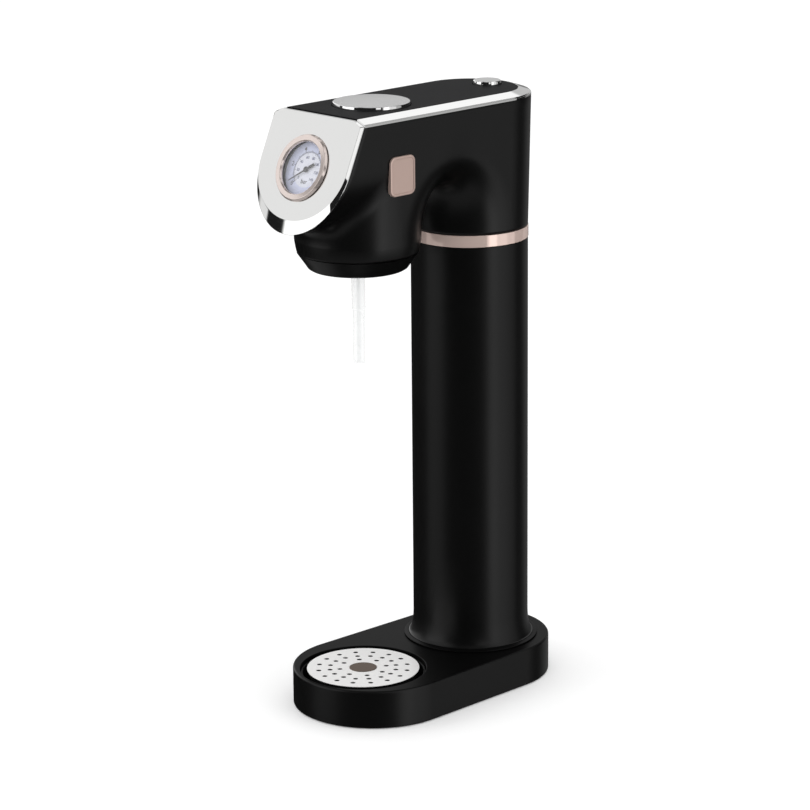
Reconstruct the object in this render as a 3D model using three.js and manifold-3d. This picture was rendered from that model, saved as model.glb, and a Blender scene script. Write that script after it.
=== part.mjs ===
import * as THREE from "three";
import { mergeVertices } from "three/addons/utils/BufferGeometryUtils.js";
import Module from "manifold-3d";

// Sparkling water maker: a gas cylinder stands in a slim column on a flat base, and a head
// with a button, a gauge and a filling nozzle reaches forward over a drip tray.
// Millimetres, +Z up, front towards -Y. The column axis is the line x = 0, y = 0 while building.

const wasm = await Module();
wasm.setup();

// Facet counts
const wideSides = 28;
const midSides = 20;
const hiddenSides = 14;
const smallSides = 12;
const tinySides = 8;
const holeSides = 6;
const lineSides = 6;
const roundSteps = 3;
const flareSteps = 4;
const shoulderSteps = 3;
const archSteps = 8;
const archStations = 10;
const springSides = 5;
const springTurnSteps = 6;

// Shared clearances and allowances
const seatGap = 0.3;
const slideGap = 0.4;
const overrun = 2;
const weldTolerance = 1e-4;

// Overall layout
const columnRadius = 40;
const nozzleReach = 104;
const headHalfWidth = 42;

// Heights, each from the one below it
const deckHeight = 26.75;
const columnLength = 284.75;
const ringHeight = 8;
const cylinderRise = 18.5;
const valveBodyHeight = 8;
const valveTipHeight = 14;
const blockHeight = 26;
const pivotRise = 18;
const guideRise = 6;
const buttonRoom = 17.4;
const ringBottom = deckHeight + columnLength;
const ringTop = ringBottom + ringHeight;
const cylinderTop = ringTop + cylinderRise;
const valveBodyTop = cylinderTop + valveBodyHeight;
const valveTop = valveBodyTop + valveTipHeight;
const blockTop = valveBodyTop + blockHeight;
const pivotHeight = blockTop + pivotRise;
const guideFloor = pivotHeight + guideRise;
const coverTop = guideFloor + buttonRoom;
const trimHeight = 4.8;
const shellTop = coverTop - trimHeight;

// Base
const baseRearRadius = 54.6;
const baseFrontRadius = 56;
const baseFrontReach = 93;
const baseWall = 2.4;
const baseBottom = 1;
const baseEdgeRound = 1.6;
const deckThickness = 3;
const plateThickness = 2.2;
const plateBottom = 1.6;
const cylinderMouthRadius = 33.5;
const footRadius = 7;
const footEdge = 0.6;
const footInset = 12;
const footTurn = 35;
const bossInset = 7.2;
const bossTurn = 55;
const bossSideShare = 0.73;
const bossRadius = 4;
const screwRadius = 1.5;
const screwHeadRadius = 3;
const screwHeadHeight = 1.2;
const screwLength = 11;

// Drip tray and grille
const wellRadius = 43.1;
const wellWall = 1.7;
const wellFloorTop = 7;
const wellEdge = 1;
const trayWall = 1.5;
const trayRimDrop = 2.5;
const grilleRadius = 38.3;
const grilleThickness = 1.5;
const grilleEdge = 0.4;
const grilleSkirtRadius = 36.8;
const grilleSkirtDepth = 3.4;
const grilleSkirtWall = 1.2;
const supportRadius = 35;
const supportWall = 1.6;
const supportNotches = 8;
const supportNotchWidth = 7;
const supportNotchHeight = 6;
const holeRadius = 1.75;
const holeRows = [
  { radius: 30.6, count: 16, phaseShare: 0.5 },
  { radius: 22.8, count: 16, phaseShare: 0.5 },
  { radius: 16, count: 8, phaseShare: 0.25 },
];
const grilleDiscRadius = 9.35;
const grilleDiscProud = 0.2;
const grilleDiscThickness = 0.8;

// Column
const columnWall = 2.2;
const flareRadius = 46.5;
const flareLift = 1;
const flareHeight = 18;
const ringProud = 0.3;
const ringWall = 2.3;
const sleeveDrop = 15.5;
const sleeveBottom = ringBottom - sleeveDrop;
const sleeveWall = 2.4;
const guideClearance = 0.7;
const guideWall = 1.6;
const guideLift = 3.25;
const guideBottom = deckHeight + guideLift;
const guideDrop = 23.5;
const guideTop = ringBottom - guideDrop;
const guideFlange = 3;

// Gas cylinder and its valve
const cylinderRadius = 30;
const cylinderWall = 2.4;
const cylinderBottom = 8;
const cylinderFootRound = 6;
const cylinderDish = 9;
const cylinderNeckHeight = 14;
const cylinderNeckBottom = cylinderTop - cylinderNeckHeight;
const shoulderHeight = 24;
const cylinderShoulder = cylinderNeckBottom - shoulderHeight;
const neckRadius = 13;
const neckBore = 9.5;
const valveTipRadius = 10.5;
const valveStubDepth = 11;
const valveBore = 2.3;
const valveBoreDepth = 12;
const valveEdge = 1;
const cylinderPinRadius = 1.9;
const cylinderPinLength = 10;
const cylinderPinProud = 1.5;

// Head shell
const headWall = 2.2;
const barrelDrop = 31.9;
const barrelCentre = coverTop - barrelDrop;
const archRise = 29;
const archSpringRise = 7.5;
const archSpring = ringTop + archSpringRise;
const nozzleRise = 6.2;
const nozzleShellBottom = ringBottom + nozzleRise;
const nozzleBulge = 10;
const nozzleTuck = 1.7;
const nozzleCurveShare = 0.45;
const rearDraft = 2;

// Fascia plane
const fasciaTilt = 24;
const fasciaOverhang = 33;
const fasciaReach = nozzleReach + fasciaOverhang;
const fasciaThickness = 4.2;
const fasciaSideRim = 1.6;
const fasciaFootRim = 7.3;
const fasciaTopRim = 1.2;
const fasciaRimDepth = 2.6;
const capSetback = 7.2;
const fasciaCapReach = fasciaReach - capSetback;
const capRootShare = 0.4;

// Top cover and chrome trim
const coverHalfWidth = 33;
const coverThickness = 2.2;
const trimShoulder = 41.3;
const trimShoulderDrop = 2.6;
const trimEdgeDrop = 3.2;
const trimLedge = 3;
const rearTurnSteps = 20;

// Carbonation button
const buttonSetback = 13.8;
const buttonReach = nozzleReach - buttonSetback;
const buttonRadius = 25.8;
const buttonProud = 2.6;
const buttonTop = coverTop + buttonProud;
const buttonEdge = 1.1;
const buttonDepth = 11;
const buttonWall = 1.6;
const stemRadius = 4;
const stemFlangeRadius = 9;
const stemFlangeThickness = 1.6;
const guideRingWall = 2;
const guideRingFlange = 1.2;
const guideFloorThickness = 2;
const buttonSpringRadius = 6.6;
const springWire = 0.75;
const springTurns = 4;

// Pressure release knob
const knobReach = 17.5;
const knobRadius = 9.7;
const knobProud = 2.6;
const knobTop = coverTop + knobProud;
const knobEdge = 0.7;
const knobDepth = 6.4;
const knobShoulder = coverTop - knobDepth;
const knobRodRadius = 2.4;
const reliefRadius = 8.5;
const reliefCupRadius = 11.6;
const releaseRoom = 11;
const reliefFloor = knobShoulder - releaseRoom;
const reliefCupFloor = 1.5;
const reliefBoreDepth = 9;
const knobRodDrop = 6;
const knobRodBottom = reliefFloor - knobRodDrop;
const reliefSpringRadius = 5.2;

// Valve block, lever and push pin
const blockRadius = 22;
const blockFlangeRadius = 37.2;
const blockFlangeThickness = 4;
const blockHeadRadius = 30;
const blockHeadThickness = 6;
const pinRadius = 2.5;
const pinHeadRadius = 5;
const pinHeadHeight = 4;
const sealThickness = 1.2;
const pivotReach = 28;
const pivotEye = 4;
const pivotPinRadius = 1.6;
const earInner = 17.2;
const earThickness = 3;
const earHalfLength = 3.6;
const leverThickness = 3;
const leverForkInner = 13.3;
const leverForkOuter = 16.9;
const leverBridge = 6;
const leverHalfWidth = 7;
const leverTipHalfWidth = 5;
const leverTipRun = 5.8;
const leverTipReach = buttonReach + leverTipRun;
const leverRibHalfWidth = 1.2;
const leverRibHeight = 3;

// Nozzle and bottle socket
const collarMidRadius = 36.2;
const collarMidDrop = 6.1;
const collarMidHeight = nozzleShellBottom - collarMidDrop;
const collarLowRadius = 32.4;
const collarLowDrop = 11.6;
const collarLowHeight = nozzleShellBottom - collarLowDrop;
const collarDrop = 13.2;
const collarBottom = nozzleShellBottom - collarDrop;
const collarFootRadius = 30.5;
const bottleMouthRadius = 24.5;
const nozzlePlateRise = 12.3;
const nozzlePlateHeight = nozzleShellBottom + nozzlePlateRise;
const nozzlePlateThickness = 3;
const hubRadius = 12;
const gasLineRise = 5;
const gasLineHeight = blockTop + gasLineRise;
const hubDrop = 25;
const hubTop = gasLineHeight - hubDrop;
const hubBore = 1.8;
const spigotRadius = 3.2;
const spigotDrop = 11.7;
const spigotBottom = nozzleShellBottom - spigotDrop;
const socketWall = 3.4;
const socketBore = 20.4;
const socketDrop = 10.7;
const socketBottom = nozzleShellBottom - socketDrop;
const threadDepth = 1.1;
const threadPitch = 4;
const threadTurns = 3;
const threadStartShare = 0.5;
const threadCrestShare = 0.6;
const sealOuter = 19.2;
const sealInner = 9.2;
const sealDrop = 3.5;
const sealBottom = nozzlePlateHeight - sealDrop;
const tubeNutRadius = 8.6;
const tubeRadius = 4.65;
const tubeLowRadius = 4.1;
const tubeStepDrop = 39.7;
const tubeStep = nozzleShellBottom - tubeStepDrop;
const tubeDrop = 76.2;
const tubeTip = nozzleShellBottom - tubeDrop;
const tubeBore = 1.2;
const tubeSeatDrop = 1.3;
const tubeTop = nozzleShellBottom - tubeSeatDrop;
const tubeTipRound = 1;
const safetyValveSide = 20;
const safetyValveSetback = 8;
const safetyValveRadius = 5;
const safetyValveHeight = 18;

// Gas lines
const lineRadius = 2;
const lineSteps = 10;

// Pressure gauge, seen along the fascia normal
const gaugeDrop = 36.7;
const bezelRadius = 22.5;
const glassRadius = 17.5;
const bezelProud = 2.2;
const caseRadius = 20.7;
const caseWall = 1.2;
const caseDepth = 20;
const lensThickness = 1.2;
const lensDepth = 0.4;
const dialDepth = 5;
const dialThickness = 0.6;
const needleDepth = 3;
const needleThickness = 0.5;
const needleTip = 13.8;
const needleTail = 9.9;
const needleHub = 1.9;
const needleHalfWidth = 0.55;
const needleRest = 215;
const arborRadius = 0.8;
const gearModule = 0.5;
const gearTipShare = 0.8;
const gearRootShare = 1.15;
const gearBaseShare = 0.3;
const gearCrestShare = 0.1;
const pinionTeeth = 10;
const gearRatio = 5;
const gearThickness = 1.2;
const gearDepth = 8.6;
const sectorSweep = 50;
const sectorHub = 2.4;
const sectorRimShare = 0.78;
const sectorMarginShare = 1.2;
const linkPinReach = 4.4;
const linkLength = 10.5;
const linkAngle = 38;
const linkHalfWidth = 0.9;
const linkThickness = 0.6;
const movementPlateDepth = 10.4;
const movementPlateThickness = 1;
const bourdonRadius = 17.2;
const bourdonTubeRadius = 1.5;
const bourdonDepth = 8.5;
const bourdonSweep = 235;
const bourdonSteps = 12;
const gaugePortRadius = 4;
const gaugePortLength = 9;

// Side plate
const badgeWidth = 22;
const badgeHeight = 26;
const badgeThickness = 1.4;
const badgeDrop = 7.8;
const badgeCentre = barrelCentre - badgeDrop;
const badgeCorner = 3.5;

const tau = Math.PI * 2;
const radians = THREE.MathUtils.degToRad;

// Finishes
const finish = (color, roughness, metalness) => ({ color, roughness, metalness });
const finishes = {
  satinBlack: finish(0x161616, 0.5, 0),
  coverBlack: finish(0x2a2a2a, 0.55, 0),
  plasticBlack: finish(0x101010, 0.6, 0),
  plasticGrey: finish(0x5a5c5e, 0.6, 0),
  chrome: finish(0xe6e6e8, 0.08, 1),
  satinSilver: finish(0xcfcfd0, 0.3, 1),
  roseGold: finish(0xc9a496, 0.3, 1),
  brass: finish(0xb8954a, 0.35, 1),
  steel: finish(0x9a9c9f, 0.35, 1),
  aluminium: finish(0xb6b9bc, 0.4, 1),
  whitePlate: finish(0xe9e7e6, 0.35, 0.6),
  rubber: finish(0x1c1c1c, 0.9, 0),
  clearTube: finish(0xf2f4f5, 0.2, 0),
  glass: finish(0xeef3f8, 0.05, 0),
  dialWhite: finish(0xd9dcea, 0.6, 0),
  needleBlack: finish(0x111111, 0.5, 0),
};

// Closed meshes and booleans

function closed(geometry) {
  const bare = geometry.clone();
  bare.deleteAttribute("normal");
  bare.deleteAttribute("uv");
  const merged = mergeVertices(bare, weldTolerance);
  const place = merged.attributes.position;
  const index = merged.index.array;
  const kept = [];
  const a = new THREE.Vector3();
  const b = new THREE.Vector3();
  const c = new THREE.Vector3();
  let volume = 0;
  for (let i = 0; i < index.length; i += 3) {
    const [i0, i1, i2] = [index[i], index[i + 1], index[i + 2]];
    if (i0 === i1 || i1 === i2 || i2 === i0) continue;
    kept.push(i0, i1, i2);
    a.fromBufferAttribute(place, i0);
    b.fromBufferAttribute(place, i1);
    c.fromBufferAttribute(place, i2);
    volume += a.dot(b.cross(c));
  }
  if (volume < 0) kept.reverse();
  merged.setIndex(kept);
  return merged;
}

function solid(geometry) {
  const mesh = closed(geometry);
  return new wasm.Manifold(new wasm.Mesh({
    numProp: 3,
    vertProperties: new Float32Array(mesh.attributes.position.array),
    triVerts: new Uint32Array(mesh.index.array),
  }));
}

function geometryOf(manifold) {
  const mesh = manifold.getMesh();
  const geometry = new THREE.BufferGeometry();
  geometry.setAttribute("position", new THREE.BufferAttribute(mesh.vertProperties, 3));
  geometry.setIndex(new THREE.BufferAttribute(mesh.triVerts, 1));
  return geometry;
}

function join(first, ...others) {
  return geometryOf(others.reduce((sum, other) => sum.add(solid(other)), solid(first)));
}

function cut(first, ...tools) {
  return geometryOf(tools.reduce((rest, tool) => rest.subtract(solid(tool)), solid(first)));
}

function common(first, second) {
  return geometryOf(solid(first).intersect(solid(second)));
}

// Outlines and primitive forms

const point = (x, y) => new THREE.Vector2(x, y);

function arc(centreX, centreY, radius, startAngle, endAngle, steps) {
  return Array.from({ length: steps + 1 }, (_, i) => {
    const angle = startAngle + ((endAngle - startAngle) * i) / steps;
    return point(centreX + radius * Math.cos(angle), centreY + radius * Math.sin(angle));
  });
}

const circle = (x, y, radius, sides) => arc(x, y, radius, 0, tau - tau / sides, sides - 1);

// A revolved profile of [radius, height] pairs, with its axis along Z
function turned(profile, sides = midSides) {
  const points = profile.map(([radius, height]) => point(radius, height));
  return closed(new THREE.LatheGeometry(points, sides).rotateX(Math.PI / 2));
}

function ring(innerRadius, outerRadius, bottom, top, sides = midSides) {
  return turned([
    [innerRadius, bottom],
    [outerRadius, bottom],
    [outerRadius, top],
    [innerRadius, top],
    [innerRadius, bottom],
  ], sides);
}

const rod = (radius, bottom, top, sides = smallSides) =>
  turned([[0, bottom], [radius, bottom], [radius, top], [0, top]], sides);

const rodAt = (x, y, radius, bottom, top, sides) => rod(radius, bottom, top, sides).translate(x, y, 0);

// An outline in X and Y raised from one height to another
function raised(outline, bottom, top) {
  const options = { depth: top - bottom, bevelEnabled: false };
  return closed(new THREE.ExtrudeGeometry(new THREE.Shape(outline), options).translate(0, 0, bottom));
}

// An outline in Y and Z carried sideways from one X to another
function acrossX(outline, from, to) {
  return raised(outline, from, to).applyMatrix4(new THREE.Matrix4().makeBasis(
    new THREE.Vector3(0, 1, 0),
    new THREE.Vector3(0, 0, 1),
    new THREE.Vector3(1, 0, 0),
  ));
}

// An outline in X and Z carried back from one Y to another
function alongY(outline, from, to) {
  return raised(outline, -to, -from).rotateX(Math.PI / 2);
}

const block = (x0, x1, y0, y1, z0, z1) =>
  raised([point(x0, y0), point(x1, y0), point(x1, y1), point(x0, y1)], z0, z1);

// A skin through rings of equal point counts, closed by flat ends
function lofted(sections, flatten) {
  const clockwise = THREE.ShapeUtils.area(sections[0].map(flatten)) < 0;
  const rings = clockwise ? sections.map((section) => [...section].reverse()) : sections;
  const count = rings[0].length;
  const positions = rings.flat().flatMap((p) => [p.x, p.y, p.z]);
  const index = [];
  for (let level = 0; level + 1 < rings.length; level += 1) {
    for (let i = 0; i < count; i += 1) {
      const next = (i + 1) % count;
      const [a, b] = [level * count + i, level * count + next];
      index.push(a, b, b + count, a, b + count, a + count);
    }
  }
  const endFaces = THREE.ShapeUtils.triangulateShape(rings[0].map(flatten), []);
  const last = (rings.length - 1) * count;
  endFaces.forEach(([a, b, c]) => index.push(a, c, b, a + last, b + last, c + last));
  const geometry = new THREE.BufferGeometry();
  geometry.setAttribute("position", new THREE.Float32BufferAttribute(positions, 3));
  geometry.setIndex(index);
  return closed(geometry);
}

const flatZ = (p) => point(p.x, p.y);
const flatX = (p) => point(p.y, p.z);

// A round tube along a smooth curve through places
function tubeThrough(places, radius, steps) {
  const curve = new THREE.CatmullRomCurve3(places.map((place) => new THREE.Vector3(...place)));
  const section = new THREE.Shape(circle(0, 0, radius, lineSides));
  return closed(new THREE.ExtrudeGeometry(section, { steps, extrudePath: curve }));
}

// A helical spring between two heights
function coilSpring(radius, bottom, top) {
  class Helix extends THREE.Curve {
    getPoint(share, target = new THREE.Vector3()) {
      const angle = tau * springTurns * share;
      const height = THREE.MathUtils.lerp(bottom + springWire, top - springWire, share);
      return target.set(radius * Math.cos(angle), radius * Math.sin(angle), height);
    }
  }
  const section = new THREE.Shape(circle(0, 0, springWire, springSides));
  const options = { steps: springTurns * springTurnSteps, extrudePath: new Helix() };
  return closed(new THREE.ExtrudeGeometry(section, options));
}

// The assembly tree

const assembly = new THREE.Group();
const fasciaGroup = new THREE.Group();
fasciaGroup.position.set(0, -fasciaReach, coverTop);
fasciaGroup.rotation.x = Math.PI / 2 - radians(fasciaTilt);
fasciaGroup.updateMatrix();
assembly.add(fasciaGroup);

function add(name, geometry, look, parent = assembly) {
  const mesh = new THREE.Mesh(geometry, new THREE.MeshStandardMaterial(look));
  mesh.name = name;
  parent.add(mesh);
  return mesh;
}

// Base

function baseOutline(inset) {
  const lean = Math.asin((baseFrontRadius - baseRearRadius) / baseFrontReach);
  const rear = arc(0, 0, baseRearRadius - inset, lean, Math.PI - lean, wideSides / 2);
  const front = arc(0, -baseFrontReach, baseFrontRadius - inset, Math.PI - lean, tau + lean, wideSides / 2);
  return [...rear, ...front];
}

function baseSlab(levels) {
  const rings = levels.map(([z, inset]) => baseOutline(inset).map((p) => new THREE.Vector3(p.x, p.y, z)));
  return lofted(rings, flatZ);
}

const onRim = (radius, degrees) => [radius * Math.cos(radians(degrees)), radius * Math.sin(radians(degrees))];
const [footSideFront, footFrontRun] = onRim(baseFrontRadius - footInset, footTurn);
const footSpots = [
  [footSideFront, -baseFrontReach - footFrontRun],
  onRim(baseRearRadius - footInset, footTurn),
];
const bossSpots = [
  [baseRearRadius * bossSideShare, -nozzleReach / 2],
  onRim(baseRearRadius - bossInset, bossTurn),
];
const mirrored = (spots) => spots.flatMap(([side, reach]) => [[-side, reach], [side, reach]]);

const plateTop = plateBottom + plateThickness;
const deckUnderside = deckHeight - deckThickness;
const bossBottom = plateTop + seatGap;
const pilotRadius = screwRadius + seatGap;
const deckHoleRadius = cylinderMouthRadius;

function baseShell() {
  const edge = Array.from({ length: roundSteps + 1 }, (_, i) => {
    const turn = (Math.PI / 2) * (i / roundSteps);
    return [
      deckHeight - baseEdgeRound * (1 - Math.sin(turn)),
      baseEdgeRound * (1 - Math.cos(turn)),
    ];
  });
  const outer = baseSlab([[baseBottom, baseEdgeRound / 2], [baseBottom + baseEdgeRound / 2, 0], ...edge]);
  const hollow = baseSlab([[baseBottom - overrun, baseWall], [deckUnderside, baseWall]]);
  const wellOuter = rodAt(0, -nozzleReach, wellRadius + wellWall, wellFloorTop - wellWall,
    deckUnderside + overrun / 2, wideSides);
  const wellInner = turned([
    [0, wellFloorTop],
    [wellRadius, wellFloorTop],
    [wellRadius, deckHeight - wellEdge],
    [wellRadius + wellEdge, deckHeight],
    [wellRadius + wellEdge, deckHeight + overrun],
    [0, deckHeight + overrun],
  ], wideSides).translate(0, -nozzleReach, 0);
  const bosses = mirrored(bossSpots).map(([x, y]) =>
    rodAt(x, y, bossRadius, bossBottom, deckUnderside + overrun / 2, tinySides));
  const pilots = mirrored(bossSpots).map(([x, y]) =>
    rodAt(x, y, pilotRadius, bossBottom - overrun, screwLength + overrun, tinySides));
  const mouth = rod(deckHoleRadius, deckUnderside - overrun, deckHeight + overrun, wideSides);
  const open = cut(outer, hollow);
  const fitted = join(open, common(wellOuter, outer), ...bosses);
  return cut(fitted, wellInner, mouth, ...pilots);
}

function basePlate() {
  const inset = baseWall + seatGap;
  const slab = baseSlab([[plateBottom, inset], [plateTop, inset]]);
  const mouth = rod(cylinderMouthRadius, plateBottom - overrun, plateTop + overrun, wideSides);
  const holes = mirrored(bossSpots).flatMap(([x, y]) => [
    rodAt(x, y, pilotRadius, plateBottom - overrun, plateTop + overrun, tinySides),
    rodAt(x, y, screwHeadRadius + seatGap, plateBottom - overrun, plateBottom + screwHeadHeight, tinySides),
  ]);
  return cut(slab, mouth, ...holes);
}

function foot() {
  return turned([
    [0, 0],
    [footRadius - footEdge, 0],
    [footRadius, footEdge],
    [footRadius, plateBottom],
    [0, plateBottom],
  ], smallSides);
}

function baseScrew() {
  const headTop = plateBottom + screwHeadHeight - seatGap;
  return turned([
    [0, plateBottom],
    [screwHeadRadius, plateBottom],
    [screwHeadRadius, headTop],
    [screwRadius, headTop],
    [screwRadius, plateBottom + screwLength - screwRadius],
    [0, plateBottom + screwLength],
  ], tinySides);
}

add("base_shell", baseShell(), finishes.satinBlack);
add("base_plate", basePlate(), finishes.plasticBlack);
mirrored(footSpots).forEach(([x, y], i) =>
  add(`foot_${i + 1}`, foot(), finishes.rubber).position.set(x, y, 0));
mirrored(bossSpots).forEach(([x, y], i) =>
  add(`base_screw_${i + 1}`, baseScrew(), finishes.steel).position.set(x, y, 0));

// Drip tray and grille, modelled on their own axis

const trayRadius = wellRadius - slideGap;
const trayBottom = wellFloorTop + seatGap;
const trayFloor = trayBottom + trayWall;
const trayRim = deckHeight - trayRimDrop;
const grilleBottom = deckHeight - grilleThickness;
const supportTop = grilleBottom - seatGap;

function dripTray() {
  const cup = turned([
    [0, trayBottom],
    [trayRadius - trayWall, trayBottom],
    [trayRadius, trayBottom + trayWall],
    [trayRadius, trayRim],
    [trayRadius - trayWall, trayRim],
    [trayRadius - trayWall, trayFloor],
    [supportRadius, trayFloor],
    [supportRadius, supportTop],
    [supportRadius - supportWall, supportTop],
    [supportRadius - supportWall, trayFloor],
    [0, trayFloor],
  ], wideSides);
  const notches = Array.from({ length: supportNotches / 2 }, (_, i) =>
    block(-supportRadius - supportWall, supportRadius + supportWall, -supportNotchWidth / 2,
      supportNotchWidth / 2, supportTop - supportNotchHeight, supportTop + overrun)
      .rotateZ((tau * i) / supportNotches));
  return cut(cup, ...notches);
}

function dripGrille() {
  const recess = deckHeight - grilleDiscThickness + grilleDiscProud - seatGap;
  const disc = turned([
    [0, grilleBottom],
    [grilleSkirtRadius - grilleSkirtWall, grilleBottom],
    [grilleSkirtRadius - grilleSkirtWall, grilleBottom - grilleSkirtDepth],
    [grilleSkirtRadius, grilleBottom - grilleSkirtDepth],
    [grilleSkirtRadius, grilleBottom],
    [grilleRadius, grilleBottom],
    [grilleRadius, deckHeight - grilleEdge],
    [grilleRadius - grilleEdge, deckHeight],
    [grilleDiscRadius + seatGap, deckHeight],
    [grilleDiscRadius + seatGap, recess],
    [0, recess],
  ], wideSides);
  const holes = holeRows.flatMap(({ radius, count, phaseShare }) =>
    Array.from({ length: count }, (_, i) => {
      const angle = (tau * (i + phaseShare)) / count;
      return rodAt(radius * Math.cos(angle), radius * Math.sin(angle), holeRadius,
        grilleBottom - overrun, deckHeight + overrun, holeSides);
    }));
  return cut(disc, ...holes);
}

const grilleDiscTop = deckHeight + grilleDiscProud;
const grilleDisc = turned([
  [0, grilleDiscTop - grilleDiscThickness],
  [grilleDiscRadius, grilleDiscTop - grilleDiscThickness],
  [grilleDiscRadius, grilleDiscTop - grilleDiscProud],
  [grilleDiscRadius - grilleDiscProud, grilleDiscTop],
  [0, grilleDiscTop],
], midSides);

add("drip_tray", dripTray(), finishes.plasticBlack).position.y = -nozzleReach;
add("drip_grille", dripGrille(), finishes.whitePlate).position.y = -nozzleReach;
add("grille_disc", grilleDisc, finishes.roseGold).position.y = -nozzleReach;

// Column

const columnBottom = deckHeight + seatGap;
const columnTop = ringBottom - seatGap;
const columnBore = columnRadius - columnWall;

function columnTube() {
  const flareBottom = columnBottom + flareLift;
  const flare = Array.from({ length: flareSteps + 1 }, (_, i) => {
    const turn = (Math.PI / 2) * (i / flareSteps);
    return [
      flareRadius - (flareRadius - columnRadius) * Math.sin(turn),
      flareBottom + flareHeight * (1 - Math.cos(turn)),
    ];
  });
  return turned([
    [columnBore, columnBottom],
    [flareRadius, columnBottom],
    ...flare,
    [columnRadius, columnTop],
    [columnBore, columnTop],
    [columnBore, columnBottom],
  ], wideSides);
}

function guideSleeve() {
  const inner = cylinderRadius + guideClearance;
  const outer = inner + guideWall;
  const rim = columnBore - seatGap;
  return turned([
    [inner, guideBottom],
    [rim, guideBottom],
    [rim, guideBottom + guideFlange],
    [outer, guideBottom + guideFlange],
    [outer, guideTop - guideFlange],
    [rim, guideTop - guideFlange],
    [rim, guideTop],
    [inner, guideTop],
    [inner, guideBottom],
  ], midSides);
}

const sleeveRadius = columnBore - seatGap;
add("column_tube", columnTube(), finishes.satinBlack);
add("ring_band", ring(columnRadius + ringProud - ringWall, columnRadius + ringProud, ringBottom, ringTop,
  wideSides), finishes.roseGold);
add("neck_sleeve", ring(sleeveRadius - sleeveWall, sleeveRadius, sleeveBottom, valveBodyTop, hiddenSides),
  finishes.plasticGrey);
add("cylinder_guide", guideSleeve(), finishes.plasticGrey);

// Gas cylinder and its valve

function gasCylinder() {
  const inner = cylinderRadius - cylinderWall;
  const shoulder = (radius, bottom, top) => Array.from({ length: shoulderSteps + 1 }, (_, i) => {
    const turn = (Math.PI / 2) * (i / shoulderSteps);
    return [
      neckRadius + (radius - neckRadius) * Math.cos(turn),
      bottom + (top - bottom) * Math.sin(turn),
    ];
  });
  const innerShoulder = shoulder(inner, cylinderShoulder, cylinderNeckBottom - cylinderWall);
  return turned([
    [0, cylinderBottom + cylinderDish],
    [cylinderRadius - cylinderFootRound * 2, cylinderBottom + cylinderDish / 3],
    [cylinderRadius - cylinderFootRound, cylinderBottom],
    [cylinderRadius - cylinderFootRound / 3, cylinderBottom + cylinderFootRound / 3],
    [cylinderRadius, cylinderBottom + cylinderFootRound],
    ...shoulder(cylinderRadius, cylinderShoulder, cylinderNeckBottom),
    [neckRadius, cylinderTop],
    [neckBore, cylinderTop],
    [neckBore, cylinderNeckBottom - cylinderWall],
    ...innerShoulder.reverse().slice(1),
    [inner, cylinderBottom + cylinderDish],
    [cylinderRadius - cylinderFootRound * 2, cylinderBottom + cylinderDish + cylinderWall],
    [0, cylinderBottom + cylinderDish + cylinderWall * 2],
  ], hiddenSides);
}

function cylinderValve() {
  const bodyBottom = cylinderTop + seatGap;
  return turned([
    [0, cylinderTop - valveStubDepth],
    [neckBore - seatGap, cylinderTop - valveStubDepth],
    [neckBore - seatGap, bodyBottom],
    [neckRadius, bodyBottom],
    [neckRadius, valveBodyTop - valveEdge],
    [neckRadius - valveEdge, valveBodyTop],
    [valveTipRadius, valveBodyTop],
    [valveTipRadius, valveTop - valveEdge],
    [valveTipRadius - valveEdge, valveTop],
    [valveBore, valveTop],
    [valveBore, valveTop - valveBoreDepth],
    [0, valveTop - valveBoreDepth],
  ], hiddenSides);
}

const cylinderPinTop = valveTop + cylinderPinProud;
add("gas_cylinder", gasCylinder(), finishes.aluminium);
add("cylinder_valve", cylinderValve(), finishes.brass);
add("cylinder_pin", rod(cylinderPinRadius, cylinderPinTop - cylinderPinLength, cylinderPinTop, tinySides),
  finishes.steel);

// Head shell: a barrel with a slanted front, the nozzle and rear cylinders below it,
// and an arch between them whose crown follows the barrel

function archCutter(half) {
  const section = (station, reachX) => {
    const nearAxis = Math.sqrt(Math.max(half ** 2 - station ** 2, 0));
    const halfSpan = nozzleReach / 2 - nearAxis;
    const crown = barrelCentre - (archRise - headHalfWidth + half) * (nearAxis / half);
    const curve = Array.from({ length: archSteps + 1 }, (_, i) => {
      const angle = Math.PI * (1 - i / archSteps);
      return new THREE.Vector3(
        reachX,
        -nozzleReach / 2 + halfSpan * Math.cos(angle),
        archSpring + (crown - archSpring) * Math.sin(angle),
      );
    });
    const foot = archSpring - nozzleReach / 2;
    return [
      ...curve,
      new THREE.Vector3(reachX, -nozzleReach / 2 + halfSpan, foot),
      new THREE.Vector3(reachX, -nozzleReach / 2 - halfSpan, foot),
    ];
  };
  const stations = Array.from({ length: archStations + 1 }, (_, i) =>
    half * Math.sin(Math.PI * (i / archStations - 1 / 2)));
  return lofted([
    section(half, -half - overrun),
    ...stations.map((x) => section(x, x)),
    section(half, half + overrun),
  ], flatX);
}

function drafted(geometry) {
  const place = geometry.attributes.position;
  const blendFront = headHalfWidth - nozzleReach;
  const blendBack = -headHalfWidth;
  for (let i = 0; i < place.count; i += 1) {
    const [x, y, z] = [place.getX(i), place.getY(i), place.getZ(i)];
    const rearShare = THREE.MathUtils.clamp((y - blendFront) / (blendBack - blendFront), 0, 1);
    const downShare = THREE.MathUtils.clamp((shellTop - z) / (shellTop - ringTop), 0, 1);
    const scale = 1 - (rearShare * downShare * rearDraft) / headHalfWidth;
    place.setXYZ(i, x * scale, y * scale, z);
  }
  return geometry;
}

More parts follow.
